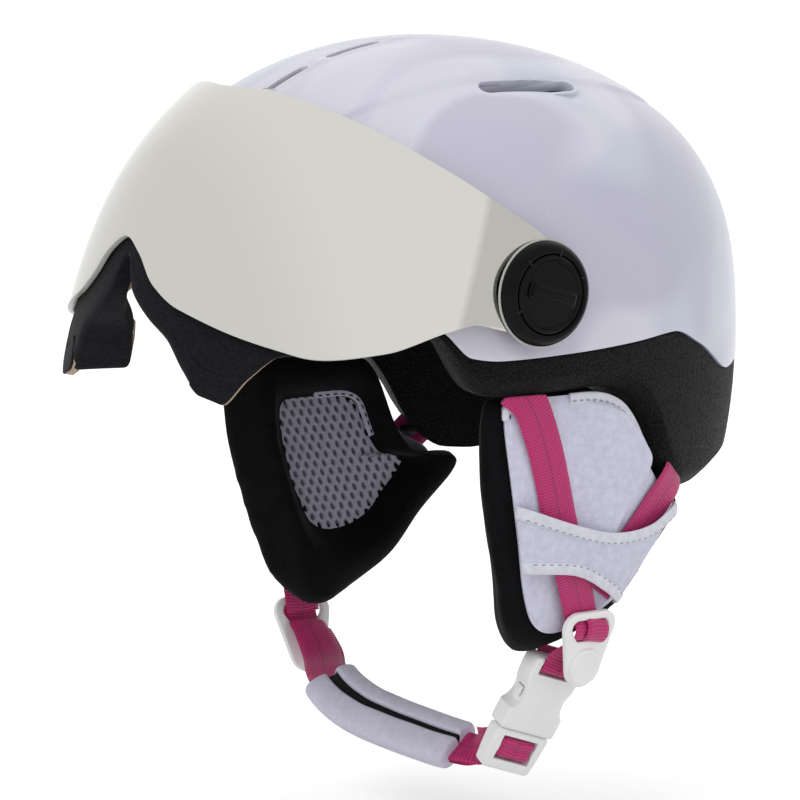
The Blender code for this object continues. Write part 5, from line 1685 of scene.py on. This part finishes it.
class HELMET_OT_ear_pads(bpy.types.Operator):
    """Model the soft ear pads with their covers, mesh and pockets"""

    bl_idname = "helmet.ear_pads"
    bl_label = "Ear pads"

    def execute(self, context):
        for side, label in SIDES:
            for make in (ear_cushion, ear_cover, cover_panel, edge_tapes, ear_mesh, pocket_band):
                make(side, label)
        return {"FINISHED"}


# Straps

def ribbon(name, points, lays, count, width=None):
    """Webbing along a line, its width laid along a direction at each point."""
    form = sizes()
    half = (width or form.strap_width) / 2
    points, lays = even(points, count, lays)
    section = []
    for face, first in ((1, -1), (-1, 1)):
        for step in range(13):
            u = first * (1 - 2 * step / 13)
            section.append((-u, face * (1 - abs(u) ** 10) ** 0.5))
    rings = []
    for point, lay, ahead in zip(points, lays, directions(points)):
        across = (lay - ahead * lay.dot(ahead)).normalized()
        out = across.cross(ahead).normalized()
        rings.append([point + across * u * half + out * v * form.strap_wall / 2 for u, v in section])
    item = loft(name, rings)
    ribbon_uv(item, 4 * half, run_length(points))
    return smooth(item, 50)


def strap_on_pad(side, label, place, route, lifts, count):
    """Webbing on an ear pad, at a lift from its cover at each point."""
    half = sizes().strap_wall / 2
    places = spline([(y, z, lift) for (y, z), lift in zip(route, lifts)], 60)
    points = [ear_point(side, p.x, p.y, p.z + half) for p in places]
    lays = [ahead.cross(normal) for normal, ahead in zip(ear_normals(side, places), directions(points))]
    strap = ribbon(f"{label}_{place}_webbing", points, lays, count)
    for vertex in strap.data.vertices:
        vertex.co.z = min(vertex.co.z, ear_level() - 0.5 * MM)
    finish_piece(tidy_mesh(strap), "helmet", "webbing", "webbing", f"{label}_{place}_strap")


def strap_anchor(side, label, place, drop):
    """Small moulded tab that holds a strap's end up behind the liner's edge."""
    node = f"{label}_{place}_strap_anchor"
    low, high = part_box(node)
    middle = (low + high) / 2
    tab = rounded_box(f"{label}_{place}_anchor_tab", Vector((1.2 * MM, 8 * MM, 4 * MM)), 0.6 * MM, 3)
    centre = Vector((middle.x - side * 1.5 * MM, middle.y - drop / 3, high.z - drop))
    settle(tab, Matrix.Translation(centre))
    finish_piece(smooth(tab), "helmet", "anchor", "anchor", node)


class HELMET_OT_ear_straps(bpy.types.Operator):
    """Model the webbing on both ear pads and finish its anchors"""

    bl_idname = "helmet.ear_straps"
    bl_label = "Ear straps"

    def execute(self, context):
        over = 2 * GAP + sizes().strap_wall
        lifts = [GAP + 0.2 * MM, GAP + 1.0 * MM, GAP + 0.8 * MM, GAP, GAP, over, over + 0.2 * MM]
        for side, label in SIDES:
            y, z = (v * MM for v in DIVIDER_PLACE[side])
            front = ear_route(FRONT_STRAP) + [(y - 1 * MM, z + 2.6 * MM)]
            strap_on_pad(side, label, "front", front, lifts, 150)
            rear = ear_route(REAR_STRAP)
            strap_on_pad(side, label, "rear", rear, [GAP - 5 * MM] + [GAP] * (len(rear) - 1), 100)
            strap_anchor(side, label, "front", 2 * MM)
            strap_anchor(side, label, "rear", 6 * MM)
        return {"FINISHED"}


def wrapped(circles, count):
    """Outline of a band stretched round circles."""
    points = []
    for c, s in circle(count):
        x, y, r = max(circles, key=lambda k: k[0] * c + k[1] * s + k[2])
        points.append(Vector(((x + r * c) * MM, (y + r * s) * MM)))
    return points


def standing_frame(centre, across, face, up):
    return Matrix.Translation(centre) @ Matrix((across, face, up)).transposed().to_4x4()


def divider_frame(side):
    """Frame of a strap divider: across the strap, out from the cheek, and up."""
    y, z = (v * MM for v in DIVIDER_PLACE[side])
    face = ear_normal(side, y, z)
    up = (Vector((0, 0, 1)) - face * face.z).normalized()
    across = up.cross(face).normalized()
    return standing_frame(ear_point(side, y, z, 4.2 * MM + DIVIDER_HALF), across, face, up)


class HELMET_OT_dividers(bpy.types.Operator):
    """Model the white dividers that gather the straps"""

    bl_idname = "helmet.dividers"
    bl_label = "Strap dividers"

    def execute(self, context):
        outer = wrapped(RING_CIRCLES, 144)
        inner = wrapped(EYE_CIRCLES, 144)
        button_level = RING_CIRCLES[-1][1]
        section = rounded(((0, -1), (1, -1), (1, 1), (0, 1)), 0.4)
        for side, label in SIDES:
            place = divider_frame(side)
            turn = place.to_3x3()
            rings = []
            for o, i in zip(outer, inner):
                spots = [(i.lerp(o, share), w * DIVIDER_HALF) for share, w in section]
                rings.append([place @ Vector((spot.x, out, spot.y)) for spot, out in spots])
            divider = smooth(loft(label + "_divider", rings, closed=True), 60)
            finish_piece(divider, "helmet", "buckle", "white", label + "_strap_divider")
            rings = []
            for radius, height in BUTTON_PROFILE:
                rings.append([place @ Vector((radius * MM * c, height * MM, (button_level + radius * s) * MM))
                              for c, s in circle(64)])
            button = smooth(loft(label + "_divider_button", rings), 45)
            finish_piece(button, "helmet", "buckle", "white")
            across = turn @ Vector((1, 0, 0))
            for number, (shift, width, route) in enumerate(DIVIDER_FOLDS):
                line = spline([place @ Vector((shift * MM, y * MM, z * MM)) for y, z in route], 40)
                lays = [across + turn @ Vector((0, 0, -0.18 * number))] * 40
                layer = ribbon(f"{label}_divider_fold_{number}", line, lays, 60, width * MM)
                finish_piece(layer, "helmet", "webbing", "webbing")
        return {"FINISHED"}


# Buckle and chin strap

# Thickness of the buckle's halves, and its slots for webbing: across, through and along it, in millimetres
SOCKET_THICK = 9.5
PRONG_THICK = 7.5
SLOT = (16.4, 20, 3.4)


def buckle_frame():
    """Frame of the side-release buckle: across, out from the cheek, and up its length."""
    up = Vector((0.36, 0.28, 0.886)).normalized()
    face = Vector((0.93, -0.13, -0.33))
    face = (face - up * face.dot(up)).normalized()
    across = face.cross(up).normalized()
    middle = divider_frame(LEFT).translation + Vector((-19.5 * MM, -8 * MM, -25 * MM))
    return standing_frame(middle, across, face, up)


def box_cutter(size, place, bevel=0.0):
    box = rounded_box("cutter", [v * MM for v in size], bevel * MM, 3)
    return settle(box, Matrix.Translation(Vector([v * MM for v in place])))


def side_scoop(side, z, reach, radius):
    """Oval cutter that bites a buckle's side, its axis along the face's normal."""
    bpy.ops.mesh.primitive_cylinder_add(vertices=40, radius=radius * MM, depth=40 * MM)
    place = Matrix.Translation((side * reach * MM, 0, z * MM)) @ Matrix.Rotation(math.pi / 2, 4, "X")
    return settle(name_piece("scoop"), place @ Matrix.Diagonal((1, 1.35, 1, 1)))


def plate(name, outline, thickness, bevel):
    """Plate cut to an outline across and along the buckle, with soft edges."""
    half = thickness / 2
    rings = [[Vector((x * MM, y * MM, z * MM)) for x, z in outline] for y in (-half, half)]
    return soften(loft(name, rings), bevel * MM, 4, 50)


def mirrored(points):
    """Outline given down its right side, closed up its left side."""
    return list(points) + [(-x, z) for x, z in reversed(points)]


def buckle_half(item, body, node):
    """Soften a finished half of the buckle and put it in its place."""
    soften(item, 0.5 * MM, 3, 45)
    finish_piece(smooth(settle(item, buckle_frame())), body, "buckle", "white", node)


class HELMET_OT_buckle(bpy.types.Operator):
    """Model both halves of the side-release buckle"""

    bl_idname = "helmet.buckle"
    bl_label = "Buckle"

    def execute(self, context):
        socket = plate("buckle_socket", mirrored(SOCKET_OUTLINE), SOCKET_THICK, 1.6)
        cut(socket, box_cutter((18.6, 5.2, 29), (0, 0, -11), 0.8))
        for side in (LEFT, RIGHT):
            cut(socket, side_scoop(side, -0.5, 14.2, 5.2))
        cut(socket, box_cutter(SLOT, (0, 0, 10.4)))
        for depth in (-SOCKET_THICK / 2, SOCKET_THICK / 2):
            cut(socket, box_cutter((16.8, 4.2, 31), (0, depth, 24.6)))
        buckle_half(socket, "helmet", "buckle_female")

        outline = [(x, PRONG_TOP + z) for x, z in PRONG_OUTLINE]
        prongs = plate("buckle_prongs", mirrored(outline), PRONG_THICK, 1.4)
        for side in (LEFT, RIGHT):
            arm = plate("arm", [(side * x, PRONG_TOP + z) for x, z in ARM_OUTLINE], 3.6, 0.7)
            cut(prongs, arm, "UNION")
        cut(prongs, box_cutter((3.6, 3.6, 14), (0, 0, PRONG_TOP + 6), 0.9), "UNION")
        lower = PRONG_SLOT - SLOT_STEP
        for z in (PRONG_SLOT, lower):
            cut(prongs, box_cutter(SLOT, (0, 0, z)))
        cut(prongs, box_cutter((16.0, 4.2, 6.8), (0, PRONG_THICK / 2, (PRONG_SLOT + lower) / 2)))
        buckle_half(prongs, "buckle_male_body", "buckle_male")
        return {"FINISHED"}


# Points along the chin webbing's route, and the part of it where its width turns to lie in a slot
CHIN_STEPS = 96
CHIN_TURNING = CHIN_STEPS // 6

# Return of the webbing from the buckle: points back along its route, and lift off it in millimetres
CHIN_RETURN = ((6, 3.4), (12, 2.3), (19, 1.8), (25, 1.7))

# Part of the route that the webbing's return from the divider lies along
RETURN_PART = slice(3, 34)

# Part of the route that the sleeve covers, points round each of its skins, and the strip of felt inside it
SLEEVE_SPAN = (0.27, 0.79)
SLEEVE_SIDES = 44
FELT_SECTION = ((-7.6, 1.2), (7.6, 1.2), (7.6, 2.2), (-7.6, 2.2))


def webbing_room():
    return sizes().strap_wall + 2 * GAP


def behind_divider():
    """How far behind a divider's middle the webbing through it lies."""
    return -DIVIDER_HALF - 2 * GAP - sizes().strap_wall / 2


def chin_line():
    """Route of the chin webbing from the right divider to the buckle, and the way its width lies."""
    divider = divider_frame(RIGHT)
    place = buckle_frame()
    start = divider @ Vector((0, behind_divider(), -2 * MM))
    into = place @ Vector((0, -PRONG_THICK / 2 * MM - 2.5 * MM, PRONG_SLOT * MM))
    points = spline([start, *(Vector(p) * MM for p in CHIN_ROUTE), into], CHIN_STEPS)
    slot_across = place.to_3x3() @ Vector((1, 0, 0))
    eye_across = divider.to_3x3() @ Vector((-1, 0, 0))
    lays = []
    for i, (point, ahead) in enumerate(zip(points, directions(points))):
        across = ahead.cross(point - JAW).normalized()
        across = across.lerp(eye_across, max(0.0, 1 - i / CHIN_TURNING))
        lays.append(across.lerp(slot_across, max(0.0, 1 - (CHIN_STEPS - 1 - i) / CHIN_TURNING)))
    return points, lays


def chin_webbing(points, lays, outward, blend):
    """Webbing from the right divider, round through the buckle, and its return at the divider."""
    place = buckle_frame()
    slot_across = place.to_3x3() @ Vector((1, 0, 0))
    upper = PRONG_SLOT * MM
    bar = upper - SLOT_STEP / 2 * MM
    lower = upper - SLOT_STEP * MM
    behind = -PRONG_THICK / 2 * MM
    front = PRONG_THICK / 2 * MM - webbing_room() / 2
    corners = ((front, upper), (front, bar), (front, lower), (behind - 0.6 * MM, lower))
    loop = [points[-1]] + [place @ Vector((0, y, z)) for y, z in corners]
    loop += [points[-k] + outward[-k] * lift * MM for k, lift in CHIN_RETURN]
    line = points[:-1] + spline(loop, 80)
    turned_lays = [slot_across.lerp(lays[-19], smooth_step(38, 60, i)) for i in range(80)]
    strap = ribbon("chin_webbing", line, lays[:-1] + turned_lays, 320)
    finish_piece(strap, "helmet", "webbing", "webbing", "chin_strap", blend=blend)
    route = list(zip(points, lays, outward))[RETURN_PART]
    back = [point + out * 1.75 * MM + lay * 0.9 * MM for point, lay, out in route]
    under = ribbon("chin_webbing_return", back, lays[RETURN_PART], 90)
    finish_piece(under, "helmet", "webbing", "webbing")


def sleeve_ring(point, across, normal, share):
    """Section of the sleeve, open along a slit: its outer skin and back along its inner one."""
    full = 0.86 + 0.14 * (1 - abs(2 * share - 1) ** 4)
    full *= 1 + 0.045 * math.sin(share * 21) * math.sin(share * 8 + 1)
    gap = math.radians(9 - 4 * share)
    steps = range(SLEEVE_SIDES)
    ring = []
    for half_width, half_depth, puff, order in ((11, 4.75, 0.5, steps), (8.7, 2.7, 0, reversed(steps))):
        for step in order:
            turn = math.radians(82) + gap + (2 * math.pi - 2 * gap) * step / (SLEEVE_SIDES - 1)
            u = squared_off(math.cos(turn), 0.8)
            v = squared_off(math.sin(turn), 0.7)
            rise = puff * MM * abs(math.sin(2 * turn))
            ring.append(point + across * u * half_width * MM + normal * v * (half_depth * MM * full + rise))
    return ring


def chin_sleeve(points, lays, outward, blend):
    """Fleece sleeve on the chin webbing, with a strip of felt inside it."""
    first, last = (round(share * (CHIN_STEPS - 1)) for share in SLEEVE_SPAN)
    ways = directions(points)
    rings = []
    lining = []
    for i in range(first, last + 1):
        across = (lays[i] - ways[i] * lays[i].dot(ways[i])).normalized()
        normal = across.cross(ways[i])
        if normal.dot(outward[i]) > 0:
            normal = -normal
        rings.append(sleeve_ring(points[i], across, normal, (i - first) / (last - first)))
        if first < i < last:
            lining.append([points[i] + across * u * MM + normal * v * MM for u, v in FELT_SECTION])
    sleeve = modify(loft("chin_sleeve", rings), "SUBSURF", levels=1, render_levels=1)
    finish_piece(smooth(sleeve, 60), "helmet", "chin_pad", "chin_fleece", "chin_pad", fill=0.6, blend=blend)
    felt = smooth(loft("chin_lining", lining))
    finish_piece(felt, "helmet", "chin_pad", "black_felt", blend=blend)


def buckle_webbing():
    """Short webbing from the left divider, looped through the fixed half of the buckle."""
    top = buckle_frame()
    divider = divider_frame(LEFT)
    level = 15.5 * MM
    slot_height = level - 3.4 * MM - 1.7 * MM
    side = SOCKET_THICK / 2 * MM - webbing_room() / 2
    back = behind_divider()
    route = [divider @ Vector((0, back, -3 * MM)), divider @ Vector((0, back - 0.4 * MM, -6 * MM)),
             top @ Vector((0, side, level + 2.5 * MM)), top @ Vector((0, side, level - 1 * MM))]
    line = spline(route, 30)
    across = top.to_3x3() @ Vector((1, 0, 0))
    begin = divider.to_3x3() @ Vector((1, 0, 0))
    if begin.dot(across) < 0:
        begin = -begin
    lays = [begin.lerp(across, i / 29) for i in range(30)]
    corners = ((side, slot_height), (-side, slot_height), (-side, level - 1 * MM),
               (-side - 0.3 * MM, level + 2.5 * MM))
    loop = [line[-1]] + [top @ Vector((0, y, z)) for y, z in corners]
    strap = ribbon("buckle_webbing", line[:-1] + spline(loop, 40), lays[:-1] + [across] * 40, 160)
    finish_piece(strap, "helmet", "webbing", "webbing", "buckle_strap")


class HELMET_OT_chin_strap(bpy.types.Operator):
    """Model the chin webbing, its fleece sleeve and the loop on the buckle"""

    bl_idname = "helmet.chin_strap"
    bl_label = "Chin strap"

    def execute(self, context):
        points, lays = chin_line()
        outward = [(point - JAW).normalized() for point in points]
        blend = ("helmet", "buckle_male_body", points[int(CHIN_STEPS * 0.45)], points[-8])
        chin_webbing(points, lays, outward, blend)
        chin_sleeve(points, lays, outward, blend)
        buckle_webbing()
        return {"FINISHED"}


# Stage

# Softboxes: name, place, size and power
LAMPS = (("key", (0.6, -1.5, 1.7), 1.6, 14), ("side", (1.9, 0.9, 0.9), 1.6, 5),
         ("top", (-0.5, 0.6, 2.0), 2.2, 7))
LAMP_TARGET = Vector((0, 0, -0.02))
FLOOR_DROP = 22 * MM
WHITE = (1, 1, 1, 1)

# Camera: the photo's directions, its scale in metres to a pixel, its size and the origin's place in pixels
CAMERA_RIGHT = Vector((0.5878, 0.809, 0))
CAMERA_TOWARDS = Vector((0.8011, -0.582, 0.1392))
PHOTO_SCALE = 1 / 2630
PHOTO_SIZE = 800
ORIGIN_ACROSS = 409
ORIGIN_DOWN = 347.4
SENSOR = 36


def ray_share(tree, *rays):
    """One for rays of these kinds, and zero for others."""
    path = tree.nodes.new("ShaderNodeLightPath").outputs
    share = path[rays[0]]
    for ray in rays[1:]:
        share = maths(tree, "MAXIMUM", share, path[ray])
    return share


def lay_floor():
    """Pale floor, a little brighter to the eye and in the lens than to other rays."""
    level = cad_box[0].z - FLOOR_DROP
    bpy.ops.mesh.primitive_grid_add(x_subdivisions=4, y_subdivisions=4, size=60, location=(0, 0, level))
    floor = name_piece("studio_floor")
    bpy.ops.object.transform_apply(location=True, rotation=False, scale=False)
    material, tree, shader = new_finish("studio_floor", colours().floor, 0.9, Specular_IOR_Level=0.0,
                                        Emission_Color=WHITE)
    seen = ray_share(tree, "Is Camera Ray", "Is Glossy Ray")
    tree.links.new(maths(tree, "MULTIPLY", seen, 0.42), shader["Emission Strength"])
    floor.data.materials.append(material)


def light_world(scene):
    """White surroundings, dimmer as a light than they look."""
    world = bpy.data.worlds.new("studio")
    scene.world = world
    world.use_nodes = True
    tree = world.node_tree
    mix = tree.nodes.new("ShaderNodeMixShader")
    light = tree.nodes["Background"]
    seen = tree.nodes.new("ShaderNodeBackground")
    for place, node, strength in ((1, light, 0.62), (2, seen, 1.0)):
        node.inputs["Color"].default_value = WHITE
        node.inputs["Strength"].default_value = strength
        tree.links.new(node.outputs[0], mix.inputs[place])
    tree.links.new(ray_share(tree, "Is Camera Ray", "Is Glossy Ray", "Is Transmission Ray"), mix.inputs[0])
    tree.links.new(mix.outputs[0], tree.nodes["World Output"].inputs["Surface"])


def hang_lamps():
    for name, place, size, power in LAMPS:
        bpy.ops.object.light_add(type="AREA", location=place)
        lamp = bpy.context.object
        lamp.name = name + "_softbox"
        lamp.data.shape = "DISK"
        lamp.data.size = size
        lamp.data.energy = power
        lamp.visible_glossy = False
        lamp.rotation_euler = (Vector(place) - LAMP_TARGET).to_track_quat("Z", "Y").to_euler()


def set_camera(scene):
    up = CAMERA_TOWARDS.cross(CAMERA_RIGHT).normalized()
    half = PHOTO_SIZE / 2
    middle = CAMERA_RIGHT * (half - ORIGIN_ACROSS) * PHOTO_SCALE + up * (ORIGIN_DOWN - half) * PHOTO_SCALE
    distance = sizes().camera_distance
    bpy.ops.object.camera_add(location=middle + CAMERA_TOWARDS * distance)
    camera = bpy.context.object
    camera.name = "studio_camera"
    camera.rotation_euler = Matrix((CAMERA_RIGHT, up, CAMERA_TOWARDS)).transposed().to_euler()
    camera.data.sensor_width = SENSOR
    camera.data.lens = SENSOR * distance / (PHOTO_SIZE * PHOTO_SCALE)
    camera.data.clip_end = 100
    scene.camera = camera


class HELMET_OT_stage(bpy.types.Operator):
    """Set the pale floor, the soft studio lamps and the camera"""

    bl_idname = "helmet.stage"
    bl_label = "Studio stage"

    def execute(self, context):
        context.scene.view_settings.view_transform = "Standard"
        bpy.ops.object.select_all(action="DESELECT")
        lay_floor()
        light_world(context.scene)
        hang_lamps()
        set_camera(context.scene)
        return {"FINISHED"}


class HELMET_PT_dressing(bpy.types.Panel):
    """Lists the helmet's pieces and their settings"""

    bl_idname = "HELMET_PT_dressing"
    bl_label = "Ski helmet"
    bl_space_type = "VIEW_3D"
    bl_region_type = "UI"
    bl_category = "Helmet"

    def draw(self, context):
        column = self.layout.column(align=True)
        for operator in OPERATORS:
            column.operator(operator.bl_idname)
        for group in (context.scene.helmet_sizes, context.scene.helmet_colours):
            box = self.layout.box()
            for key in group.__annotations__:
                box.prop(group, key)


OPERATORS = (HELMET_OT_stage, HELMET_OT_shell, HELMET_OT_liner, HELMET_OT_visor, HELMET_OT_pivots,
             HELMET_OT_comfort_pads, HELMET_OT_size_adjuster, HELMET_OT_ear_pads, HELMET_OT_ear_straps,
             HELMET_OT_dividers, HELMET_OT_buckle, HELMET_OT_chin_strap)
CLASSES = (HelmetSizes, HelmetColours, *OPERATORS, HELMET_PT_dressing)


def register():
    for item in CLASSES:
        bpy.utils.register_class(item)
    bpy.types.Scene.helmet_sizes = PointerProperty(type=HelmetSizes)
    bpy.types.Scene.helmet_colours = PointerProperty(type=HelmetColours)


def unregister():
    del bpy.types.Scene.helmet_colours
    del bpy.types.Scene.helmet_sizes
    for item in reversed(CLASSES):
        bpy.utils.unregister_class(item)


def main():
    register()
    bpy.ops.helmet.stage()
    bpy.ops.helmet.shell()
    bpy.ops.helmet.liner()
    bpy.ops.helmet.visor()
    bpy.ops.helmet.pivots()
    bpy.ops.helmet.comfort_pads()
    bpy.ops.helmet.size_adjuster()
    bpy.ops.helmet.ear_pads()
    bpy.ops.helmet.ear_straps()
    bpy.ops.helmet.dividers()
    bpy.ops.helmet.buckle()
    bpy.ops.helmet.chin_strap()


if __name__ == "__main__":
    main()
